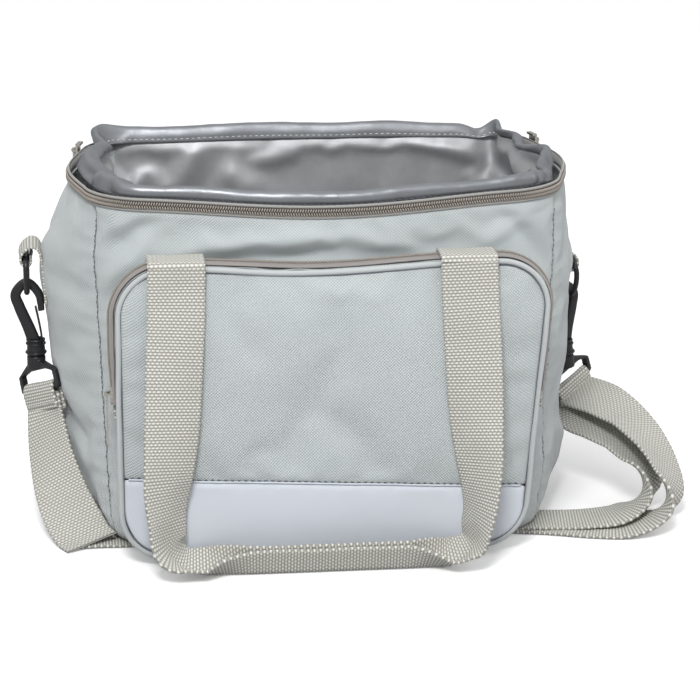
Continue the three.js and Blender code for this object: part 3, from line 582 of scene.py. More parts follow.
def film(name, color, rough, depth, metal):
    """Thin shiny coated film, crinkled all over."""
    n = Nodes(name)
    tone = n.mix(n.range(n.noise(40, 4, 0.6), 0.3, 0.7, 0, 1), shade(color, 0.88), shade(color, 1.1))
    wide = n.bump(n.noise(24, 2, 0.4, 0.3), depth, 0.4)
    fine = n.bump(n.noise(150, 3, 0.5, 0.6), depth / 6, 0.3, below=wide)
    return n.finish(color=tone, metal=metal, rough=n.range(n.noise(60, 3), 0.3, 0.7, rough, rough + 0.14),
                    normal=fine, specular=0.5)


def moulded(name, color, rough):
    """Moulded plastic with a fine grain and pale scuffs."""
    n = Nodes(name)
    scuff = n.range(n.noise(260, 5, 0.7), 0.55, 0.75, 0, 1)
    tone = n.mix(n.math("MULTIPLY", scuff, 0.25), color, shade(color, 2.2))
    return n.finish(color=tone, rough=n.range(n.noise(420, 3), 0.3, 0.7, rough - 0.06, rough + 0.1),
                    normal=n.bump(n.noise(900, 3, 0.6), 0.12, 0.5), specular=0.5)


def plated(name, color):
    """Plated metal, uneven and a little dulled."""
    n = Nodes(name)
    tone = n.mix(n.range(n.noise(300, 4, 0.7), 0.5, 0.7, 0, 0.5), color, shade(color, 0.55))
    return n.finish(color=tone, metal=1.0, rough=n.range(n.noise(500, 3), 0.3, 0.7, 0.18, 0.38),
                    normal=n.bump(n.noise(700, 2), 0.08, 0.4))


def spun(name, color):
    """Sewing thread: twisted strands along each stitch."""
    n = Nodes(name)
    twist = n.noise(1800, 2, 0.7)
    return n.finish(color=n.mix(twist, shade(color, 0.7), shade(color, 1.3)), rough=0.6,
                    normal=n.bump(twist, 0.15, 0.8), sheen=0.3)


CLOTH = woven("cloth_blue_grey", linear((190, 196, 197)), 2.1, 0.55, contrast=0.24)
BAND_CLOTH = woven("cloth_smooth_band", linear((206, 211, 219)), 0.55, 0.06, contrast=0.03, rough=0.7,
                   wear=0.03)
# Painted shade: a dark strip colour laid under the main zip's coil, standing for the shade between its grains.
COIL_GAP_PAINTED_SHADE = woven("zip_gap_painted_shade", linear((74, 70, 66)), 0.7, 0.1, contrast=0.08)
TAPE = woven("zip_tape", linear((146, 141, 139)), 0.7, 0.1, contrast=0.08)
EDGE_TAPE = woven("edge_tape", linear((152, 151, 148)), 0.7, 0.08, contrast=0.05)
PIPING = woven("piping_cloth", linear((184, 188, 189)), 1.0, 0.15, contrast=0.08)
WEBBING = webbed("webbing", linear((147, 146, 138)), linear((243, 242, 236)))
FILM = film("lining_film", linear((176, 177, 179)), 0.46, 1.6, metal=0.6)
# The rim is the lining's own film, painted darker here: painted shade for the dim reflections on the rolled rim.
HEM_FILM_SHADED = film("hem_film_shaded", linear((132, 135, 139)), 0.36, 3.0, metal=0.65)
COIL = moulded("zip_coil", linear((152, 144, 136)), 0.4)
BLACK = moulded("black_plastic", linear((26, 26, 29)), 0.36)
NICKEL = plated("nickel", linear((192, 188, 181)))
THREAD = spun("thread_slate", linear((92, 97, 108)))
SEAM_THREAD = spun("thread_grey", linear((122, 128, 134)))
PALE_THREAD = spun("thread_pale", linear((206, 208, 206)))


# ---------------------------------------------------------------- body walls
FRONT_CREASES = (
    ((-104, 214), (14, 224), 7, 4.4), ((-92, 205), (20, 212), 6, -5.5), ((10, 222), (70, 209), 6, 3.0),
    ((14, 206), (96, 214), 7, -3.4), ((-168, 196), (-112, 240), 6, -5.2), ((-162, 216), (-128, 238), 4, 2.4),
    ((-168, 168), (-124, 216), 6, 4.6), ((-166, 154), (-134, 196), 5, -4.2), ((112, 240), (156, 190), 6, -4.0),
    ((104, 212), (134, 232), 6, 2.6), ((140, 150), (152, 80), 6, -2.0), ((-160, 40), (-150, 110), 5, -2.2))
SIDE_CREASES = (
    ((-60, 60), (20, 96), 9, -3.5), ((-40, 30), (50, 66), 7, 2.5), ((-20, 225), (40, 176), 8, -3.0),
    ((-70, 200), (-30, 140), 6, 2.0), ((30, 110), (78, 60), 8, -2.5))


def front_folds(x, z):
    """Soft creases of the front wall: height of the cloth above its plain shape, in mm."""
    return folds(x, z, FRONT_CREASES) + 0.7 * waves(x, z, 11, 55) + 0.25 * waves(x, z, 12, 18)


def side_folds(y, z, seed):
    return folds(y, z, SIDE_CREASES) + 1.0 * waves(y, z, seed, 60) + 0.3 * waves(y, z, seed + 1, 22)


def wall_rows(step):
    return np.concatenate([[5.6, 8, 11, 14], np.linspace(18, WALL_TOP, int(221 / step))])


def wall_relief(ring, rows, points):
    """Creases of the four walls, gone at the base and the rim."""
    x, y, z = points[..., 0], points[..., 1], points[..., 2]
    on = lambda degrees: smoothstep(np.cos(ring[:, 2] % TAU - math.radians(degrees)), 0.45, 0.95)[:, None]
    relief = on(270) * front_folds(x, z) + on(90) * (0.8 * waves(x, z, 31, 60))
    relief += on(180) * side_folds(y, z, 41) + on(0) * side_folds(-y, z, 51)
    return relief * smoothstep(rows, 6, 30) * (1 - smoothstep(rows, 226, 236))


def seam_relief(near, step, rows, z):
    """The corner seams: a sharp groove with puckers beside it. near counts stations from the nearest seam."""
    groove = -2.0 * np.exp(-(near * step / 2.2) ** 2)[:, None]
    pucker = 0.4 * np.exp(-(near * step / 9) ** 2)[:, None] * np.sin(TAU * z / 11 + 3)
    return (groove + pucker) * (rows < 236)


def cut_walls(points, counts):
    """Cuts the closed skin into the four panels, and gives the line of each one's first seam."""
    uv = uv_of(points, True)
    first = 0
    seams = {}
    for name, count in counts.items():
        pick = np.arange(first, first + count + 1)
        part = points[pick % len(points)]
        piece = grid(f"wall_{name}", part, uv[pick], material=CLOTH, slot="outer_fabric")
        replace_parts(piece, f"outer_{name}_panel", f"foam_{name}")
        soften(thicken(piece, CLOTH_THICK))
        seams[name] = part[0]
        first += count
    return seams


def build_walls():
    step = 3.4
    counts = {name: len(wall(name, step)) - 1 for name in WALLS}
    rows = wall_rows(step)
    ring = whole_round(step)
    points = skin(ring[:, None], rows[None])
    normal = -normals_of(points, closed=True)
    normal *= np.sign((normal * outward(ring)[:, None]).sum(-1, keepdims=True))
    x, y, z = points[..., 0], points[..., 1], points[..., 2]
    half = len(ring) / 2
    seams = np.cumsum([0, *counts.values()])[:-1]
    near = np.min([np.abs((np.arange(len(ring)) - seam + half) % len(ring) - half) for seam in seams], axis=0)
    relief = wall_relief(ring, rows, points) + seam_relief(near, step, rows, z)
    relief -= smoothstep(rows, WALL_TOP - 2.5, WALL_TOP)
    points = points + normal * relief[..., None]
    body = grid("walls", points, uv_of(points, True), closed=True, material=CLOTH)
    held = np.maximum(((rows < 12) | (rows > 232))[None] * 1.0, (near <= 0)[:, None] * 0.9)
    pocket = (np.abs(x - POCKET["x"]) < POCKET["half_width"]) & (z < POCKET["top"] + 4) & (y < -85)
    drape(body, np.maximum(held, pocket * 0.6), cap=4.0, pressure=0.6, shrink=-0.014, out=normal, reach=(-2.5, 4.0))
    return cut_walls(lift_points(body, points.shape[:2]), counts)


def build_base():
    ring = whole_round(5.0)
    heights = np.array([6.4, 4.6, 3.0, 1.6, 0.6, 0.0])
    rim = skin(ring[:, None], heights[None])
    rim[..., 2] = heights[None]
    inner = np.stack([rim[:, -1] * share for share in (0.9, 0.7, 0.45, 0.2, 0.02)], 1)
    points = np.concatenate([rim, inner], 1)
    raised = smoothstep(-points[..., 1], 40, 48) * 4.9  # over the strap that passes below
    points[..., 2] = np.maximum(points[..., 2], raised)
    base = grid("base", points, uv_of(points, True), closed=True, flip=True, material=CLOTH, slot="outer_fabric")
    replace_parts(base, "outer_bottom_panel", "foam_bottom")


def build_seam_stitches(seams):
    for name, wall_name in zip(("front_left", "front_right", "back_right", "back_left"), WALLS):
        line = seams[wall_name]
        line = line[(line[:, 2] > 16) & (line[:, 2] < 232)]
        out = np.sign(line) * (0.8, 0.6, 0)
        stitches(f"seam_stitches_{name}", line + out * 0.2, out, SEAM_THREAD, length=2.2, gap=1.4, width=0.35)


seam_lines = build_walls()
build_base()
build_seam_stitches(seam_lines)


# ---------------------------------------------------------------- main zip
BODY_TAPE = ((237.4, 0.9), (237.9, -0.6), (238.6, -0.9), (239.2, -0.4), (239.7, 0.9), (244.5, 0.9), (245.0, -0.2),
             (245.6, -0.6), (246.4, -0.3), (247.0, 0.8))  # (height, inset) of both edge tapes and the gap between
BODY_SHADE = ((239.2, 0.5), (240.0, 0.1), (244.2, 0.1), (245.0, 0.5))  # a dark strip in that gap: painted shade under and between the coil's grains


def strip(name, run, rows, material):
    """A narrow band round the rim through (height, inset) rows, thin and with rounded edges."""
    heights, insets = np.array(rows).T
    points = skin(run[:, None], heights[None], insets[None])
    piece = grid(name, points, uv_of(points), material=material, slot="zipper_tape")
    return soften(thicken(piece, TAPE_THICK))


def build_main_zip():
    taped, run = tape_run(ZIP_STEP), zip_run(ZIP_STEP)
    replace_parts(strip("zip_tape_body", taped, BODY_TAPE, EDGE_TAPE), "zipper_tape_body")
    strip("zip_shade", taped, BODY_SHADE, COIL_GAP_PAINTED_SHADE)
    teeth = coil("zip_coil_body", skin(run, COIL_Z, -0.9), outward(run), pitch=1.7, height=2.5)
    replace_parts(teeth, "zipper_coil_body")


build_main_zip()


# ---------------------------------------------------------------- rim hem and lining
def near_angle(ring, u, v, degrees, spread):
    """1 at a place on the rounded corner (u, v), fading round it."""
    gap = (ring[:, 2] - math.radians(degrees) + math.pi) % TAU - math.pi
    at_corner = np.exp(-((ring[:, 0] - u) ** 2 + (ring[:, 1] - v) ** 2) / 0.02)
    return at_corner * np.exp(-(gap / math.radians(spread)) ** 2)


def rim_shift(ring):
    """How the limp rim strays: outward and upward shift along the outline, in mm."""
    x, y, _ = skin(ring, 250.0).T
    side = smoothstep(np.abs(np.cos(ring[:, 2])), 0.5, 0.98)
    left, right = side * (x < 0), side * (x > 0)
    back = smoothstep(np.sin(ring[:, 2]), 0.6, 0.98)
    peak_left = near_angle(ring, -1, 1, 134, 22)
    peak_right = near_angle(ring, 1, 1, 58, 17)
    out = left * (-9 + 3.5 * np.sin(y / 12 + 0.6)) + right * (-8 + 3.5 * np.sin(y / 10 + 1.4))
    out += 0.8 * waves(x, y, 61, 46) * (0.4 + side) + 13 * peak_left + 6 * peak_right
    up = left * (2.4 * np.sin(y / 15) - 1.0) + right * (2.0 * np.sin(y / 13 + 2) - 3.5)
    up += 2.2 * peak_left + 3.5 * peak_right - 6 * back * np.exp(-((x - 132) / 11) ** 2)
    up += 0.8 * waves(x, y, 62, 60) - 2.4 * back * smoothstep(x, 40, 120)
    return out, up


RIM_PROFILE = np.array([  # (inset, height) once round the rolled rim, from its outer foot
    (5.6, 243.4), (4.4, 244.2), (3.4, 245.6), (3.3, 246.6), (2.6, 248.0), (2.0, 250.4), (2.7, 253.0), (4.6, 254.9),
    (6.8, 255.3), (8.6, 254.2), (9.2, 252.0), (9.2, 248.8), (8.4, 246.4), (8.7, 244.6), (8.2, 243.4), (7.0, 243.2)])
OUTER_ROW, INNER_ROW = 3, 12  # where on that profile the two rows of stitches run


def rim_points(ring, out, up):
    """The rolled rim, leaning and crinkled, with a wide turned-in face on the left."""
    depth, height = RIM_PROFILE.T
    loose = smoothstep(height, 243.5, 252)[None]
    inset = depth[None] - out[:, None] * (0.35 + 0.65 * loose)
    x, y, _ = skin(ring, 250.0).T
    facing = smoothstep(depth, 5.5, 9.0) * smoothstep(-height, -255, -247)
    inset += (smoothstep(-x, 120, 150) * (5 + 12 * smoothstep(-y, -80, 60)))[:, None] * facing
    base = np.minimum(height, 250)[None]
    points = skin(ring[:, None], base + 0 * inset, inset)
    points[..., 2] += height - base + up[:, None] * (0.25 + 0.75 * loose)
    back = smoothstep(np.sin(ring[:, 2]), 0.5, 0.95)[:, None]
    points[..., 1] += smoothstep(height, 244, 255) * back * 3.0  # the back leans away and faces up a little
    side = smoothstep(np.abs(np.cos(ring[:, 2])), 0.3, 0.95)[:, None]
    crinkle = waves(points[..., 0] + points[..., 1], points[..., 2], 63, 16) * (0.15 + 0.9 * side) * loose
    return points + crinkle[..., None] * (outward(ring) + 0.6 * UP)[:, None]


def build_hem():
    ring = whole_round(2.2)
    out, up = rim_shift(ring)
    points = rim_points(ring, out, up)
    wrapped = np.concatenate([points, points[:, :1]], 1)
    hem = grid("rim_band", wrapped, uv_of(wrapped, True), closed=True, flip=True, material=HEM_FILM_SHADED, slot="lining")
    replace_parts(hem, "rim_hem")
    soften(hem)
    pressed = [hem]
    for name, row, way, thread, length, gap, width in (("outer", OUTER_ROW, 1, THREAD, 2.4, 1.8, 0.5),
                                                       ("inner", INNER_ROW, -1, PALE_THREAD, 2.0, 2.2, 0.6)):
        facing = outward(ring) * way
        line = points[:, row] + facing * 0.1
        pressed.append(stitches(f"hem_stitches_{name}", np.append(line, line[:1], 0), np.append(facing, facing[:1], 0),
                                thread, length, gap, width=width, slot="lining"))
    for piece in pressed:  # each gets a mesh of its own; when shut, the lid presses the rim down
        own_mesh(piece)
    return out


LINING_CREASES = (
    ((-96, 205), (-74, 250), 8, 4.5), ((-72, 205), (-56, 246), 8, -3.0), ((-60, 224), (-34, 208), 9, 5.0),
    ((-36, 230), (-6, 236), 6, 2.2), ((-126, 196), (-119, 228), 5, 3), ((-112, 228), (-106, 196), 5, 3),
    ((70, 246), (128, 232), 7, 6), ((20, 244), (80, 240), 6, 2.5))
LINING_SIDE_CREASES = (((86, 250), (-20, 208), 9, 7), ((60, 256), (-60, 226), 7, -4), ((90, 232), (30, 190), 8, -5))
LINING_FLOOR = 12.0


def lining_relief(ring, rows, points):
    """How far the loose film stands into the bag."""
    x, y, z = points[..., 0], points[..., 1], points[..., 2]
    back = smoothstep(np.sin(ring[:, 2]), 0.4, 0.95)[:, None]
    sides = smoothstep(np.abs(np.cos(ring[:, 2])), 0.4, 0.95)[:, None]
    relief = 0.55 * back * (folds(x, z, LINING_CREASES) + 1.0 * waves(x, z, 71, 90))
    relief += sides * (x < 0) * 15 * smoothstep(-rows, -240, -200) * hump(y / 120)
    relief += sides * (2.5 * waves(y, z, 72, 60) + folds(y, z, LINING_SIDE_CREASES))
    return relief * smoothstep(rows, 30, 80) * (1 - smoothstep(rows, 236, 243))


def build_lining(rim_out):
    ring = whole_round(4.0)
    shift = np.interp(np.linspace(0, 1, len(ring)), np.linspace(0, 1, len(rim_out)), rim_out)
    rows = np.concatenate([np.linspace(LINING_FLOOR, 170, 26), np.linspace(175, 246, 21)])
    points = skin(ring[:, None], rows[None], 7.4 - shift[:, None] * smoothstep(rows, 190, 243))
    points[:, -2:] += smoothstep(np.sin(ring[:, 2]), 0.3, 0.9)[:, None, None] * (0, 1.6, 3.0)
    inward = -outward(ring)[:, None]
    points = points + inward * lining_relief(ring, rows, points)[..., None]
    lining = grid("lining_walls", points, uv_of(points, True), closed=True, flip=True, material=FILM, slot="lining")
    held = np.zeros(points.shape[:2])
    held[:, [0, -2, -1]] = 1
    drape(lining, held, cap=2.5, shrink=-0.012, stiffness=12, out=-inward + 0 * points, reach=(-2.5, 0.8))
    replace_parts(lining, "lining")
    soften(lining)
    centre = np.array([0, 0, LINING_FLOOR])
    floor = np.stack([centre + (points[:, 0] - centre) * share for share in (1, 0.85, 0.6, 0.3, 0.02)], 1)
    floor[..., 2] = LINING_FLOOR + 0.6 * waves(floor[..., 0], floor[..., 1], 74, 70)
    grid("lining_floor", floor, uv_of(floor, True), closed=True, flip=True, material=FILM, slot="lining")


build_lining(build_hem())


# ---------------------------------------------------------------- front pocket
POCKET_CREASES = (
    ((-80, 190), (-50, 140), 10, -1.8), ((-30, 120), (50, 60), 14, -1.4), ((-20, 196), (40, 188), 7, 1.4))


def rounded(a, b, half_width, low, high, corner):
    """The unit square (a, b in -1..1) laid over a rounded rectangle, in the X-Z plane."""
    half_height = (high - low) / 2
    x, z = a * half_width, b * half_height
    ex, ez = half_width - corner, half_height - corner
    p = np.clip((np.abs(x) - ex) / corner, 0, 1)
    q = np.clip((np.abs(z) - ez) / corner, 0, 1)
    px = np.where(np.abs(x) > ex, ex + corner * p * np.sqrt(1 - q * q / 2), np.abs(x))
    qz = np.where(np.abs(z) > ez, ez + corner * q * np.sqrt(1 - p * p / 2), np.abs(z))
    return np.sign(x) * px, (low + high) / 2 + np.sign(z) * qz


def pocket_lie(x, z):
    """The pocket's right edge slants in going down, and its top edge sags between the handle legs."""
    low, high = POCKET["bottom"] + POCKET["corner"], POCKET["top"] - POCKET["corner"]
    share = 1 - np.clip((z - low) / (high - low), 0, 1)
    sag = 4.2 * hump((x + 8) / 95) * smoothstep(z, 120, POCKET["top"])
    return x - POCKET["taper"] * share * smoothstep(x, 0, 108), z - sag


def pocket_outline(inset, step=2.0):
    """Points round the pocket from the middle of its lower edge, to the right and round."""
    r = POCKET["corner"] - inset
    x = POCKET["half_width"] - inset - r
    low, high = POCKET["bottom"] + inset, POCKET["top"] - inset
    turns = [[(0.0, low)]]
    for cx, cz, start in ((x, low + r, -90), (x, high - r, 0), (-x, high - r, 90), (-x, low + r, 180)):
        a = np.radians(np.linspace(start, start + 90, int(r * math.pi / 2 / step)))
        turns.append(np.stack([cx + r * np.cos(a), cz + r * np.sin(a)], -1))
    x, z = np.concatenate([*turns, turns[0]]).T
    run = lengths(np.stack([x, 0 * x, z], -1)[:, None], 0)[:, 0] / MM
    at = np.linspace(0, run[-1], int(run[-1] / step) + 1)[:-1]
    x, z = pocket_lie(np.interp(at, run, x), np.interp(at, run, z))
    return np.stack([x + POCKET["x"], 0 * x, z], -1)


def outward_of(line):
    """The way out of the pocket, in its own plane, at points round it."""
    return np.cross(BACK, unit(np.roll(line, -1, 0) - np.roll(line, 1, 0)))


def pocket_relief(x, z, across, edge):
    """How far the pocket's face swells forward. across and edge are -1..1 and 0..1 over the face."""
    crown = 3.4 * (1 - edge ** 6) * (0.55 + 0.45 * (1 - across ** 2))
    quiet = 0.3 + 0.7 * smoothstep(z, POCKET["band"], POCKET["band"] + 20)
    uneven = quiet * (0.6 * waves(x, z, 81, 90) + 0.15 * waves(x, z, 82, 26))
    return crown + (1 - edge ** 8) * (uneven + folds(x, z, POCKET_CREASES))


def cut_pocket(points, split):
    """The panel above the band's seam and the smooth band below it, with the seam's stitches and its rolled edge."""
    uv = uv_of(points)
    upper = grid("pocket_panel", points[:, split:], uv[:, split:], material=CLOTH, slot="outer_fabric")
    lower = grid("pocket_band", points[:, :split + 1], uv[:, :split + 1], material=BAND_CLOTH, slot="smooth_fabric")
    for piece, solid in ((upper, "pocket_face"), (lower, "pocket_lower_band")):
        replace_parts(piece, solid)
        soften(thicken(piece, CLOTH_THICK))
    line = points[1:-1, split]
    seam = line + (points[1:-1, split + 1] - line) * 0.4
    stitches("band_stitches", seam, np.tile(-BACK, (len(seam), 1)), THREAD, length=2.3, gap=2.2, lift=0.25,
             slot="smooth_fabric")
    tube("band_edge", line + (0, -0.55, 0.1), 0.7, sides=8, material=BAND_CLOTH, slot="smooth_fabric")


def build_pocket_face():
    step = 3.6
    inset = 2 * POCKET["piping"] - 0.4
    half_width = POCKET["half_width"] - inset
    low, high = POCKET["bottom"] + inset, POCKET["top"] - inset
    a = np.linspace(-1, 1, int(2 * half_width / step) + 1)
    b = np.linspace(-1, 1, int((high - low) / step) + 1)
    across, up = np.meshgrid(a, b, indexing="ij")
    x, z = rounded(across, up, half_width, low, high, POCKET["corner"] - inset)
    edge = np.maximum(np.abs(across), np.abs(up))
    relief = pocket_relief(x, z, across, edge)
    z = z - POCKET["band_tilt"] * x * smoothstep(z, low, POCKET["band"]) * (1 - smoothstep(z, POCKET["band"], high))
    band = POCKET["band"] - POCKET["band_tilt"] * x
    relief -= 0.9 * np.exp(-((z - band) / 2.0) ** 2)
    lie_x, lie_z = pocket_lie(x, z)
    points = np.stack([lie_x + POCKET["x"], POCKET["front"] + 1.6 - relief, lie_z], -1)
    face = grid("pocket_cloth", points, uv_of(points), material=CLOTH)
    stiff = 0.5 * np.exp(-((z - band) / 3.0) ** 2) + 0.7 * (z < band - 4)
    drape(face, np.maximum(edge > 0.985, stiff), cap=3.5, pressure=0.5)
    split = int(np.argmin(np.abs(b * (high - low) / 2 + (high + low) / 2 - POCKET["band"])))
    cut_pocket(lift_points(face, points.shape[:2]), split)


def wall_behind(line):
    """How far back the front wall lies behind each point of a line round the pocket."""
    stations = wall("front", 4.0)
    rows = (skin(stations, max(z, 6.0)) for z in line[:, 2])
    return np.array([np.interp(x, row[:, 0], row[:, 1]) for x, row in zip(line[:, 0], rows)])


def build_piping():
    line = pocket_outline(POCKET["piping"])
    line += outward_of(line) * (0.5 * waves(line[:, 0], line[:, 2], 91, 70))[:, None]
    line[:, 1] = POCKET["front"] + POCKET["piping"] - 0.2 + 0.5 * waves(line[:, 2], line[:, 0], 92, 80)
    piping = tube("pocket_bead", line, POCKET["piping"], sides=12, closed=True, material=PIPING, slot="piping")
    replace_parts(piping, "pocket_piping")
    # Painted shade: a thin dark bead all round the groove where the piping meets the pocket's face.
    groove = pocket_outline(2 * POCKET["piping"] + 0.1)
    groove[:, 1] = POCKET["front"] + 1.0
    tube("pocket_groove_shade", groove, 0.32, sides=6, closed=True, material=THREAD, slot="piping")


def build_gusset():
    """The pocket's side, from behind the piping back to the wall."""
    outline = pocket_outline(0.6)
    share = np.array([0, 0.05, 0.11, 0.18, 0.26, 0.34, 0.42, 0.5, 0.6, 0.72, 0.86, 1.0])
    depth = -122.8 + share * (wall_behind(outline) + 123.8)[:, None]
    points = np.repeat(outline[:, None], len(share), 1)
    points[..., 1] = depth
    swell = 0.8 * np.sin(math.pi * share) + 0.5 * waves(points[..., 0] + points[..., 2], points[..., 1], 93, 30)
    swell += pocket_flare(outline)[:, None] * smoothstep(depth, -123, -113) * (1 - smoothstep(depth, -108, -98))
    swell *= 1 - smoothstep(share, 0.8, 1.0)
    points += outward_of(outline)[:, None] * swell[..., None]
    gusset = grid("pocket_side", points, uv_of(points, True), closed=True, material=CLOTH, slot="outer_fabric")
    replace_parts(gusset, "pocket_gusset")
    soften(gusset)


def pocket_flare(line):
    """The left side of the pocket stands out along its zip, a little less where the slider waits."""
    z = line[:, 2]
    return 1.5 * (line[:, 0] < 0) * smoothstep(z, 120, 150) * (1 - smoothstep(z, 168, 200))


POCKET_TAPE = ((-121.6, 0.0, 0.1), (-120.6, 0.9, 0.25), (-117.5, 1.3, 0.7), (-114.4, 1.0, 1), (-112.6, 0.2, 1))


def build_pocket_zip():
    outline = pocket_outline(-0.5, 1.5)
    keep = outline[:, 2] > POCKET["zip_end"]
    run, out = outline[keep], outward_of(outline)[keep]
    depth, lift, flared = np.array(POCKET_TAPE).T  # across the tape, from front to back
    flare = out * pocket_flare(run)[:, None]
    points = np.repeat(run[:, None], len(depth), 1)
    points[..., 1] = depth
    points += out[:, None] * lift[:, None] + flare[:, None] * flared[:, None]
    tape = grid("pocket_tape", points, uv_of(points), material=TAPE, slot="zipper_tape")
    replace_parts(tape, "pocket_zipper_tape")
    soften(thicken(tape, TAPE_THICK))
    line = run + out * 2.3 + flare
    line[:, 1] = -114.6
    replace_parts(coil("pocket_coil", line, out, pitch=1.5, height=2.0), "pocket_zipper_coil")
    right = POCKET["x"] + POCKET["half_width"] - POCKET["taper"] * 0.46
    for name, x in (("left", POCKET["x"] - POCKET["half_width"] - 0.9), ("right", right + 0.9)):
        path = [((x, -114, z), BACK) for z in (102.4, 107, 112.2)]
        tab = webbing(f"pocket_tab_{name}", path, width=9, thickness=1.1, columns=7, seed=25)
        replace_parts(tab, f"pocket_zip_end_{name}")


build_pocket_face()
build_piping()
build_gusset()


# ---------------------------------------------------------------- webbing
def ribbon(stations, folded, width, columns, seed):
    """The middle of a ribbon through stations (centre, direction of its width). folded gives how far it is folded
    along its middle at each, 0 flat to 1 shut."""
    line, at = catmull([centre for centre, _ in stations], NUB_ROW / 2)
    pick = lambda values: np.interp(at, np.arange(len(stations)), values)
    side = np.stack([pick([s[1][k] for s in stations]) for k in range(3)], -1)
    along = unit(np.gradient(line, axis=0))
    side = unit(side - along * (side * along).sum(1, keepdims=True))
    bend = pick(folded)[:, None] * math.radians(84)
    rows, a = np.arange(len(line))[:, None], np.linspace(-1, 1, columns)[None]
    half = width / 2 - 0.3 + 0.35 * (rows // 2 % 2)  # the edges are serrated
    reach = np.abs(a) * half
    across = np.sign(a) * (reach * np.cos(bend) + 0.9 * np.sin(bend) * (np.abs(a) > 0.01))
    rise = (reach - half / 2) * np.sin(bend) + 0.25 * waves(rows * 1.2, a * 19, seed, 40)
    return line[:, None] + side[:, None] * across[..., None] + np.cross(along, side)[:, None] * rise[..., None]


def nubs(n, columns):
    """Height of the weave over a face of webbing: every other nub of each row stands up."""
    rows, cols = np.meshgrid(np.arange(n), np.arange(columns), indexing="ij")
    middle = rows % 2 == 0
    height = np.where(middle & ((cols + rows // 2) % 2 == 0), 0.3, np.where(middle, -0.12, 0.02))
    height[:, [0, -1]] *= 0.3
    return height


def webbing(name, stations, body="bag", folded=None, width=WEBBING_WIDTH, thickness=1.8, blend=None, columns=27,
            seed=1):
    """Webbing with nubs on both faces, see ribbon(). Nothing of it goes below the ground."""
    sheet = ribbon(stations, [0] * len(stations) if folded is None else folded, width, columns, seed)
    facing, nub = normals_of(sheet), nubs(len(sheet), columns)
    inner = np.abs(np.linspace(-1, 1, columns)) < 0.99
    top = sheet + facing * (thickness / 2 + nub)[..., None]
    bottom = sheet - facing * (thickness / 2 + np.roll(nub, 1, 1) * inner)[..., None]
    rings = np.concatenate([top, bottom[:, ::-1]], 1)
    rings[..., 2] += np.maximum(0, FLOOR - rings[..., 2].min(1))[:, None]
    u = np.linspace(0, width / WEBBING_WIDTH, columns)
    v = (np.arange(len(sheet)) + 1) * NUB_ROW / 2 * MM
    uv = np.stack(np.broadcast_arrays(np.concatenate([u, u[::-1], u[:1]]), v[:, None]), -1)
    piece = loft(name, rings, uv, caps_turned=True, cap_uv=0.5, material=WEBBING, slot="webbing",
                 body=None if blend else body)
    if blend:
        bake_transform(piece)
    return piece


def path_of(side, *centres):
    """Stations that share one direction of their width."""
    return [(centre, side) for centre in centres]


def handle_stations(x0, x1, top, y0, y1, y_grip, z_grip, twist):
    """One loop: down the left leg, round its lower corner, along the folded grip on the ground, and up the right
    leg. twist is how far the legs turn edge on before they meet the ground."""
    def leg(x, way, steps):
        return [((x + way * dx, y0 + (y1 - y0) * share, z), (-way, turn * twist, 0), 0)
                for dx, share, z, turn in steps]

    def low(x, steps):
        return [((x + dx, y_grip + dy, z), side, fold_share) for dx, dy, z, side, fold_share in steps]
    left = leg(x0, -1, ((0, 0, top, 0), (0.6, 0.15, top - 28, 0.02), (2.6, 0.45, top - 64, 0.06),
                        (5.5, 0.8, 96, 0.3), (8.4, 1, 66, 0.6), (9.4, 1.05, 40, 1.1)))
    right = leg(x1, 1, ((0, 0, top, 0), (0.8, 0.15, top - 28, 0.05), (2.6, 0.4, top - 64, 0.2),
                        (4.2, 0.75, 104, 0.5), (6, 1.1, 74, 1.0), (6.4, 1.35, 50, 1.75), (4.6, 1.4, 32, 2.6)))
    flat = (0, 0.97 * twist, 1 - 0.78 * twist)
    low_left = low(x0, ((-8.5, 2.5, 21, (0.6, 0.8 * twist, 0.2 * (1 - twist)), 0.1),
                        (1, 3, 9.6, (0.25, 0.95 * twist, 1 - twist), 0.25),
                        (16, 3, 6.8, flat, 0.42), (31, 1.5, 8.6, flat, 0.78), (47, 0, z_grip, flat, 1)))
    low_right = low(x1, ((-42, 0, z_grip, flat, 1), (-28, 1, 8.8, flat, 0.75), (-12, 2, 7.4, flat, 0.4),
                         (1, 1.5, 15, (-0.14, 0.97 * twist, 1 - twist), 0.15)))
    grip = [((x, y_grip, z_grip), flat, 1) for x in np.linspace(x0 + 70, x1 - 66, 3)]
    path = left + low_left + grip + low_right + right[::-1]
    return [(centre, side) for centre, side, _ in path], [folded for *_, folded in path]


def build_handles():
    for side, place, seed in (("front", (-104, 90, 208.8, -131, -144.5, -149, 9.8, 1.0), 3),
                              ("rear", (-97, 97, 206.6, 104.6, 104.9, 106.0, 13.0, 0.0), 7)):
        stations, folded = handle_stations(*place)
        carry = webbing(f"{side}_carry_webbing", stations, f"{side}_handle", folded, seed=seed)
        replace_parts(carry, f"{side}_handle")
    top = POCKET["top"] + 3.3
    for name, front_x, back, rear_x in (("left", -104, -104.2, -97), ("right", 90, -105.9, 97)):
        over = ((back, 180), (back, 203), (back - 0.6, top - 1.4), (back - 2.6, top + 0.1), (-118, top + 0.4),
                (-128.4, top + 0.2), (-130.8, top - 1.0), (-131.2, top - 2.8))
        for side, x, steps, seed in (("front", front_x, over, 5),
                                     ("rear", rear_x, ((102.2, 172), (102.2, 190), (102.2, 207.4)), 9)):
            path = path_of((1, 0, 0), *((x, y, z) for y, z in steps))
            anchor = webbing(f"{side}_webbing_anchor_{name}", path, seed=seed)
            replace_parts(anchor, f"{side}_handle_anchor_{name}")


build_pocket_zip()
build_handles()


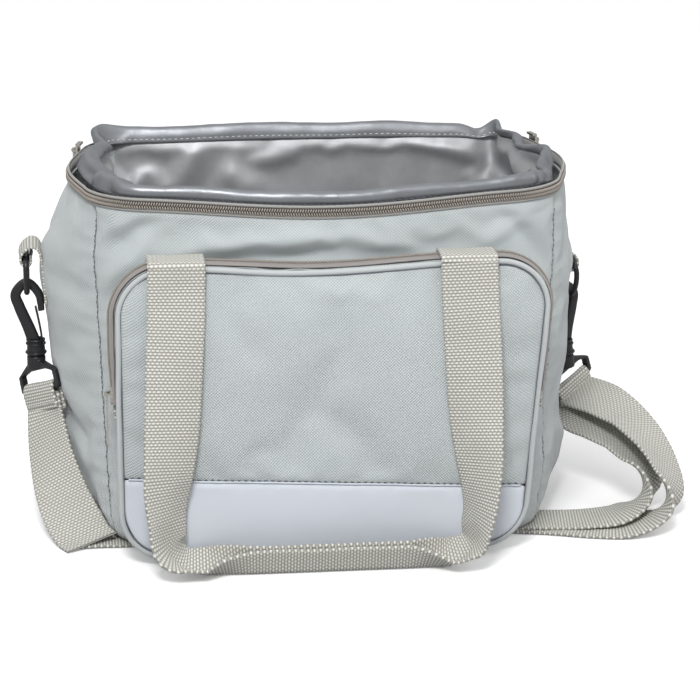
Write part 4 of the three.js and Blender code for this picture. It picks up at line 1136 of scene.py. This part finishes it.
def build_strap():
    floor = 0.9 + FLOOR
    second = floor + 2.1  # over the layer below
    across = (0, 1, 0)
    left = [
        ((-193.4, -6.4, 87.6), (0.52, -0.77, 0.34)), ((-192.5, -15, 70), (0.64, -0.74, 0.2)),
        ((-189, -31, 48), (0.74, -0.66, 0.1)), ((-182.5, -50, 27), (0.86, -0.5, 0)),
        ((-173.5, -68, 12), (0.98, -0.18, 0)), ((-167, -79, 4.8), (1, 0, 0)), ((-163, -86, floor), (1, 0, 0))]
    under = path_of(across, (-184, -67, floor), (-60, -67, floor), (60, -67, floor), (110, -67, floor),
                    (130, -68, floor))
    outer = path_of(across, (130, -68, floor), (154, -73, floor), (186, -84, floor + 0.2), (212, -89, 3)) + [
        ((234, -85, 13), (0.25, 0.95, 0.1)), ((243.5, -70, 28), (0.55, 0.8, -0.2)),
        ((238, -45, 45), (0.45, 0.85, 0)), ((227, -14, 57), (0.45, 0.88, 0.1)), ((210.5, 17.5, 64), (0.5, 0.8, 0.3)),
        ((194.1, 45.3, 63.9), (0.686, 0.663, 0.3))]
    inner = path_of(across, (98, -67, second), (130, -67, second), (157, -69, second), (185, -72, second + 0.9),
                    (207, -72, 7)) + [
        ((224, -64, 16), (0.25, 0.95, 0.1)), ((230, -48, 30), (0.5, 0.85, 0)), ((222, -22, 41), (0.4, 0.9, 0.1)),
        ((209, 2, 47), (0.5, 0.8, 0.2)), ((198, 20, 50), (0.55, 0.75, 0.3)), ((192.5, 33, 54.5), (0.65, 0.7, 0.3)),
        ((193, 43.3, 60.4), (0.686, 0.663, 0.3))]
    for name, path, seed, ends in (
            ("left", left, 13, ("left_base", (-0.173, -0.067, 0.012), (-0.1934, -0.0064, 0.0876))),
            ("right_outer", outer, 17, ("right_base", (0.243, -0.07, 0.028), (0.1941, 0.0453, 0.0639))),
            ("right_inner", inner, 19, ("right_base", (0.23, -0.048, 0.03), (0.193, 0.0433, 0.0604)))):
        webbing(f"strap_{name}", path, blend=("bag", *ends), seed=seed)
    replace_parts(webbing("strap_under", under, seed=15), "shoulder_strap")


BARS = {  # the bar of each swivel base that the strap turns round: middle, direction, front side
    "left": ((-194.34, -5.2, 92.74), (0.525, -0.779, 0.342), (-0.829, -0.559, 0.0)),
    "right": ((192.81, 44.35, 68.98), (0.686, 0.663, 0.299), (0.683, -0.729, 0.05)),
}


def build_strap_ends():
    for name, (middle, along, front) in BARS.items():
        c, d, n = np.array(middle), np.array(along), np.array(front)
        down = np.cross(d, n)
        down *= -np.sign(down[2])
        turn = ((-3.2, 17), (-3.4, 8), (-3.5, 1), (-1.6, -3.2), (1.6, -3.2), (3.5, 1), (3.3, 8), (2.5, 15))
        webbing(f"strap_loop_{name}", path_of(d, *(c + n * a + down * b for a, b in turn)), f"{name}_base", seed=21)
        row = c + down * 11.5 + n * 4.4 + d * np.linspace(-17, 17, 30)[:, None]
        stitches(f"strap_loop_stitches_{name}", row, np.tile(n, (30, 1)), PALE_THREAD, length=2.2, gap=1.0,
                 body=f"{name}_base", slot="webbing")


CLIPS = {  # side, place along the side wall, height of the ring's bar, lean and turn of the hook in degrees
    "left": (-1, 0, 187, 0, 0),
    "right": (1, 36, 164, 7, 13),
}
STAND_OFF = 12.5  # of the ring's bar from the wall


def clip_seat(name):
    """The middle of the ring's bar, the way out of the wall, the way along it, and how far the wall leans in."""
    side, y, bar, *_ = CLIPS[name]
    half, depth = 16, BODY["half_depth"][1] - BODY["corner"]
    on = lambda v, z: skin(np.array([side, v / depth, math.pi if side < 0 else 0.0]), z)
    along = on(y + half, bar) - on(y - half, bar)
    out = unit(np.array([side * along[1], -side * along[0], 0.0]))
    foot = max(float((on(v, bar - 30) - on(y, bar)) @ out) for v in (y - half, y, y + half))
    return on(y, bar) + out * STAND_OFF, out, np.array([-out[1], out[0], 0.0]), foot


def on_hook(name, points):
    """From the hook's own frame to the bag's."""
    origin, out, wide, _ = clip_seat(name)
    lean, yaw = (math.radians(v) for v in CLIPS[name][3:])
    x, y, z = np.moveaxis(points, -1, 0)
    x, y = (x + 5) * math.cos(yaw) - y * math.sin(yaw) - 5, (x + 5) * math.sin(yaw) + y * math.cos(yaw)
    x, z = x * math.cos(lean) - z * math.sin(lean), x * math.sin(lean) + z * math.cos(lean)
    return origin + x[..., None] * out + y[..., None] * wide + z[..., None] * UP


HOOK = (  # (out, up) of the shank's middle line, its width and its thickness
    (-5, -61, 8.4, 5.6), (-0.9, -50, 7.6, 5.2), (4.9, -36, 7.0, 5.2), (7.2, -27, 6.4, 5.2), (0, -19.4, 5.4, 5.0),
    (-7.6, -26.5, 5.0, 4.8), (-9.4, -34, 4.6, 4.6), (-9.7, -39.6, 1.6, 2.4))
COLLARS = ((-60.6, 5.9, 0.9), (-63.2, 6.5, 0.7), (-69.6, 6.8, 0.8))  # (up, radius, thickness of the bead)


def hook_rings():
    """The shank's skin in the hook's own frame, as rings of a rounded square."""
    x, z, width, thick = np.array(HOOK, float).T
    line, at = catmull(np.stack([x, 0 * x, z], -1), 0.7)
    width, thick = (np.interp(at, np.arange(len(HOOK)), values)[:, None] for values in (width, thick))
    side = np.cross(unit(np.gradient(line, axis=0)), BACK)
    outer = np.sign((side * (line - (0, 0, -33))).sum(1, keepdims=True))
    middle = line + side * outer * (width - 4.6) * 0.35
    turn = np.linspace(0, TAU, 21)[:-1]
    squared = lambda v: np.sign(v) * np.abs(v) ** 0.55
    return (middle[:, None] + side[:, None] * (squared(np.cos(turn)) * width / 2)[..., None]
            + BACK * (squared(np.sin(turn)) * thick / 2)[..., None])


def build_hooks():
    rings = hook_rings().swapaxes(0, 1)
    turn = np.linspace(0, TAU, 40)[:-1]
    for name in CLIPS:
        points = on_hook(name, rings)
        more = {"material": BLACK, "slot": "black_plastic", "body": f"{name}_hook"}
        thicken(grid(f"{name}_shank", points, uv_of(points, True), closed=True, **more), 0.4)
        for height, radius, bead in COLLARS:
            circle = np.stack([-5 + radius * np.cos(turn), radius * np.sin(turn), 0 * turn + height], -1)
            tube(f"{name}_collar_{-height:.0f}", on_hook(name, circle), bead, sides=8, closed=True, **more)


def build_ring_tabs():
    """Each ring's tab: up the wall, over and round the ring's bar."""
    for name in CLIPS:
        origin, out, wide, foot = clip_seat(name)
        w = -STAND_OFF
        steps = ((w + foot + 1.4, -31), (w + 1.6, -2), (w + 3.2, 6.6), (w + 7.4, 9.8), (-0.6, 8.4), (3.4, 3.8),
                 (3.6, -1.2), (1.4, -3.7), (-1.8, -3.5), (-3.5, -1), (-3.3, 2.6))
        path = path_of(wide, *(origin + out * a + UP * b for a, b in steps))
        tab = webbing(f"ring_webbing_{name}", path, width=32, thickness=1.5, columns=23, seed=23)
        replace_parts(tab, f"{name}_ring_tab")


build_strap()
build_strap_ends()
build_ring_tabs()
build_hooks()


# ---------------------------------------------------------------- lid, thrown open behind the bag
def turned(points, y, z, degrees):
    """Points turned about a line along X through (y, z)."""
    turn = math.radians(degrees)
    dy, dz = points[..., 1] - y, points[..., 2] - z
    return np.stack([points[..., 0], y + dy * math.cos(turn) - dz * math.sin(turn),
                     z + dy * math.sin(turn) + dz * math.cos(turn)], -1)


def wall_open(points):
    """From where the lid's rear wall stands when shut to where it hangs now."""
    return turned(points, FOLD_Y, WALL_FOLD_Z, WALL_THROWN)


def thrown(points):
    """From where the lid lies when shut to where it hangs now."""
    return wall_open(turned(points, FOLD_Y, LID_FOLD_Z, LID_THROWN))


def lid_outline(inset):
    ring = whole_round(3.0)
    flat = skin(ring, BODY["coil"], inset)
    flat[:, 1] = np.minimum(flat[:, 1], 101.8)
    return ring, flat[:, :2]


def squared_grid(ring, outline):
    """A square grid drawn out to a closed outline, so that it has no pole in its middle: x, y and how far out."""
    turn = np.degrees(ring[:, 2]) % 360
    corner = [int(np.argmin(np.abs(turn - want) + 1e3 * (np.abs(ring[:, 0] - u) + np.abs(ring[:, 1] - v))))
              for want, u, v in ((225, -1, -1), (315, 1, -1), (45, 1, 1), (135, -1, 1))]
    a, b = np.meshgrid(*[np.linspace(-1, 1, 65)] * 2, indexing="ij")
    r = np.maximum(np.maximum(np.abs(a), np.abs(b)), 1e-9)
    p, q = a / r, b / r
    side = np.select([q <= -1 + 1e-9, p >= 1 - 1e-9, q >= 1 - 1e-9], [0, 1, 2], 3)
    share = (np.choose(side, [p, q, -p, -q]) + 1) / 2
    spans = np.array([(corner[(k + 1) % 4] - corner[k]) % len(ring) for k in range(4)])
    at = (np.array(corner)[side] + share * spans[side]) % len(ring)
    x, y = (np.interp(at, np.arange(len(ring) + 1), np.append(values, values[0])) for values in outline.T)
    return x * r, y * r, r


def lid_sheet(name, height, inset, crown, material, slot, seed, creases=1.0):
    """A panel of the lid. More creases than 1 add a fold into each corner."""
    x, y, r = squared_grid(*lid_outline(inset))
    flat = 1 - np.minimum(r, 1) ** 5
    z = height + flat * (crown + creases * (0.8 * waves(x, y, seed, 60) + 0.25 * waves(x, y, seed + 1, 22)))
    for k, (u, v) in enumerate(((-1, -1), (1, -1), (1, 1), (-1, 1))):
        z += (creases - 1) * flat * fold(x, y, (u * 140, v * 86), (u * (60 - 14 * k), v * 30), 8 + 2 * k, 0.8)
    return soften(grid(name, thrown(np.stack([x, y, z], -1)), np.stack([x, y], -1) * MM, material=material,
                       slot=slot, body="lid"))


LID_SKIRT = ((257.6, 1.3), (257.4, 0.4), (258.2, 0), (261, 0), (263.6, 0), (264.9, 0.5), (265.35, 1.8))


def build_lid():
    cover = lid_sheet("lid_cloth", 265.3, 1.6, 1.4, CLOTH, "outer_fabric", 101)
    rows = [(lid_outline(inset)[1], height) for height, inset in LID_SKIRT]
    points = np.stack([np.column_stack([row, np.full(len(row), height)]) for row, height in rows], 1)
    soften(grid("lid_skirt", thrown(points), uv_of(points, True), closed=True, material=CLOTH, slot="outer_fabric",
                body="lid"))
    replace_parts(cover, "lid_outer_panel", "lid_foam")
    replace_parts(lid_sheet("lid_film", 258.8, 1.6, -1.2, FILM, "lining", 105, creases=2.0), "lid_lining")


def build_lid_zip():
    heights = np.array([246.4, 247.4, 249, 251, 253, 255, 257, 258.6])
    points = thrown(skin(tape_run(ZIP_STEP)[:, None], heights[None], 1.7))
    tape = grid("zip_tape_lid", points, uv_of(points), material=TAPE, slot="zipper_tape", body="lid")
    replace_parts(tape, "zipper_tape_lid")
    soften(thicken(tape, TAPE_THICK))
    run = zip_run(ZIP_STEP)
    shut = skin(run, 247.4, -0.4)
    teeth = coil("zip_coil_lid", thrown(shut), thrown(shut + outward(run)) - thrown(shut), pitch=1.65, height=2.1,
                 body="lid")
    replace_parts(teeth, "zipper_coil_lid")


def build_rear_wall():
    x = np.linspace(-REAR_HALF_WIDTH, REAR_HALF_WIDTH, 50)[:, None]
    z = np.linspace(243.0, 264.6, 8)[None]
    points = wall_open(np.stack([x + 0 * z, FOLD_Y + 0.4 * waves(x, z, 107, 50), z + 0 * x], -1))
    rear = grid("lid_back_strip", points, uv_of(points), material=CLOTH, slot="outer_fabric", body="lid_rear_wall")
    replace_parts(rear, "lid_rear_wall")
    soften(thicken(rear, CLOTH_THICK, 0))


HINGES = {  # strips of cloth over the two creases of the lid, as (y, z) seen from the side
    "bag_to_back_strip": (((101.9, 236), (102.1, 240), (102.5, 242.6), (103.3, 243.4), (104.2, 242.4), (104.9, 239),
                           (105.2, 236)), ("bag", "lid_rear_wall", (0, 0.1024, 0.2432), (0, 0.1044, 0.2428))),
    "back_strip_to_lid": (((106.8, 226), (107.0, 222), (107.1, 219.8), (107.4, 218.6), (108.4, 217.4),
                           (109.4, 216.2)), ("lid_rear_wall", "lid", (0, 0.1069, 0.2206), (0, 0.108, 0.2178))),
}


def build_hinges():
    x = np.linspace(1 - REAR_HALF_WIDTH, REAR_HALF_WIDTH - 1, 60)[:, None]
    for name, (path, bodies) in HINGES.items():
        line, _ = catmull([(0, *p) for p in path], 0.8)
        points = line[None] + x[..., None] * (1, 0, 0)
        piece = grid(name, points, uv_of(points), material=CLOTH, slot="outer_fabric", body=None)
        thicken(piece, 0.6, 0)
        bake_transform(piece)


build_lid()
build_lid_zip()
build_rear_wall()
build_hinges()


# ---------------------------------------------------------------- hardware
def coat(node, material):
    """A CAD solid of the frame with its material in place of its own."""
    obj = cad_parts[node]
    obj.data.materials.clear()
    obj.data.materials.append(material)
    return obj


def mould(node, material, voxel=0.55, rounds=5):
    """Rounds a CAD solid into a moulded shape without touching its mesh."""
    obj = coat(node, material)
    remesh = obj.modifiers.new("skin", "REMESH")
    remesh.mode, remesh.voxel_size, remesh.use_smooth_shade = "VOXEL", voxel * MM, True
    relax = obj.modifiers.new("relax", "SMOOTH")
    relax.factor, relax.iterations = 0.5, rounds


def cast(node, material, width=0.3):
    """Rounds the edges of a small CAD solid without touching its mesh."""
    edge = coat(node, material).modifiers.new("edges", "BEVEL")
    edge.width, edge.segments, edge.limit_method = width * MM, 2, "ANGLE"
    edge.angle_limit = math.radians(35)


for side_name in ("left", "right"):
    for part in ("hook", "d_ring", "swivel_base"):
        mould(f"{side_name}_{part}", BLACK)
    cast(f"{side_name}_gate", BLACK)
    cast(f"main_slider_{side_name}", NICKEL)
    cast(f"main_pull_{side_name}", NICKEL, 0.2)
cast("pocket_slider", NICKEL)
cast("pocket_pull", NICKEL, 0.2)
mould("strap_adjuster", BLACK, 0.5, 2)


# ---------------------------------------------------------------- stage, light, camera
def aimed(place, target):
    """Turn for a lamp or camera at a place, looking at the target."""
    dx, dy, dz = (t - p for t, p in zip(target, place))
    return math.atan2(math.hypot(dx, dy), -dz), 0.0, math.atan2(dy, dx) - math.pi / 2


def build_floor():
    """A floor that the camera sees as white and that lights the bag's underside a little."""
    size = 3000.0
    floor = make("studio_floor", [(-size, -size, 0), (size, -size, 0), (size, size, 0), (-size, size, 0)],
                 [[0, 1, 2, 3]], body=None, smooth=False)
    n = Nodes("studio_white")
    seen = n.tree.nodes.new("ShaderNodeLightPath").outputs["Is Camera Ray"]
    n.finish(color=n.mix(seen, (0.5, 0.5, 0.5, 1), (0.97, 0.97, 0.97, 1)), rough=0.9, specular=0.1)
    n.shader.inputs["Emission Color"].default_value = (1, 1, 1, 1)
    n.put(n.shader.inputs["Emission Strength"], n.math("MULTIPLY", seen, 0.17))
    floor.data.materials.append(n.material)


def build_world():
    """White to the camera. As light it grows from the horizon up."""
    world = bpy.data.worlds.new("studio")
    bpy.context.scene.world = world
    world.use_nodes = True
    tree = world.node_tree
    height = tree.nodes.new("ShaderNodeSeparateXYZ")
    tree.links.new(tree.nodes.new("ShaderNodeTexCoord").outputs["Generated"], height.inputs[0])
    ramp = tree.nodes.new("ShaderNodeMapRange")
    for socket, value in zip(list(ramp.inputs)[1:5], (0.0, 0.9, 0.43, 0.9)):
        socket.default_value = value
    tree.links.new(height.outputs["Z"], ramp.inputs[0])
    pick = tree.nodes.new("ShaderNodeMix")
    tree.links.new(tree.nodes.new("ShaderNodeLightPath").outputs["Is Camera Ray"], pick.inputs[0])
    tree.links.new(ramp.outputs[0], pick.inputs[2])
    pick.inputs[3].default_value = 1.1
    tree.links.new(pick.outputs[0], tree.nodes["Background"].inputs[1])
    tree.nodes["Background"].inputs[0].default_value = (1, 1, 1, 1)


LAMPS = (("key", (-0.35, -1.7, 1.8), 0.55, 38), ("side", (1.9, -0.5, 0.9), 0.8, 5))  # place, size, watts


def build_lamps():
    for name, place, size, power in LAMPS:
        data = bpy.data.lights.new(name, "AREA")
        data.shape, data.size, data.energy = "SQUARE", size, power
        lamp = bpy.data.objects.new(name, data)
        lamp.location = place
        lamp.rotation_euler = aimed(place, (0, 0, 0.12))
        bpy.context.scene.collection.objects.link(lamp)


def build_camera():
    azimuth, elevation, distance = math.radians(-6.15), math.radians(16.04), 2.005
    target = np.array([0.0244, 0, 0.1122])
    back = np.array([math.sin(azimuth) * math.cos(elevation), -math.cos(azimuth) * math.cos(elevation),
                     math.sin(elevation)])
    data = bpy.data.cameras.new("camera")
    data.sensor_width, data.lens = 36.0, 144.7
    data.clip_start, data.clip_end = 0.05, 50
    cam = bpy.data.objects.new("camera", data)
    cam.location = target + back * distance
    cam.rotation_euler = aimed(cam.location, target)
    bpy.context.scene.collection.objects.link(cam)
    bpy.context.scene.camera = cam


build_floor()
build_world()
build_lamps()
bpy.context.scene.view_settings.view_transform = "Standard"
build_camera()
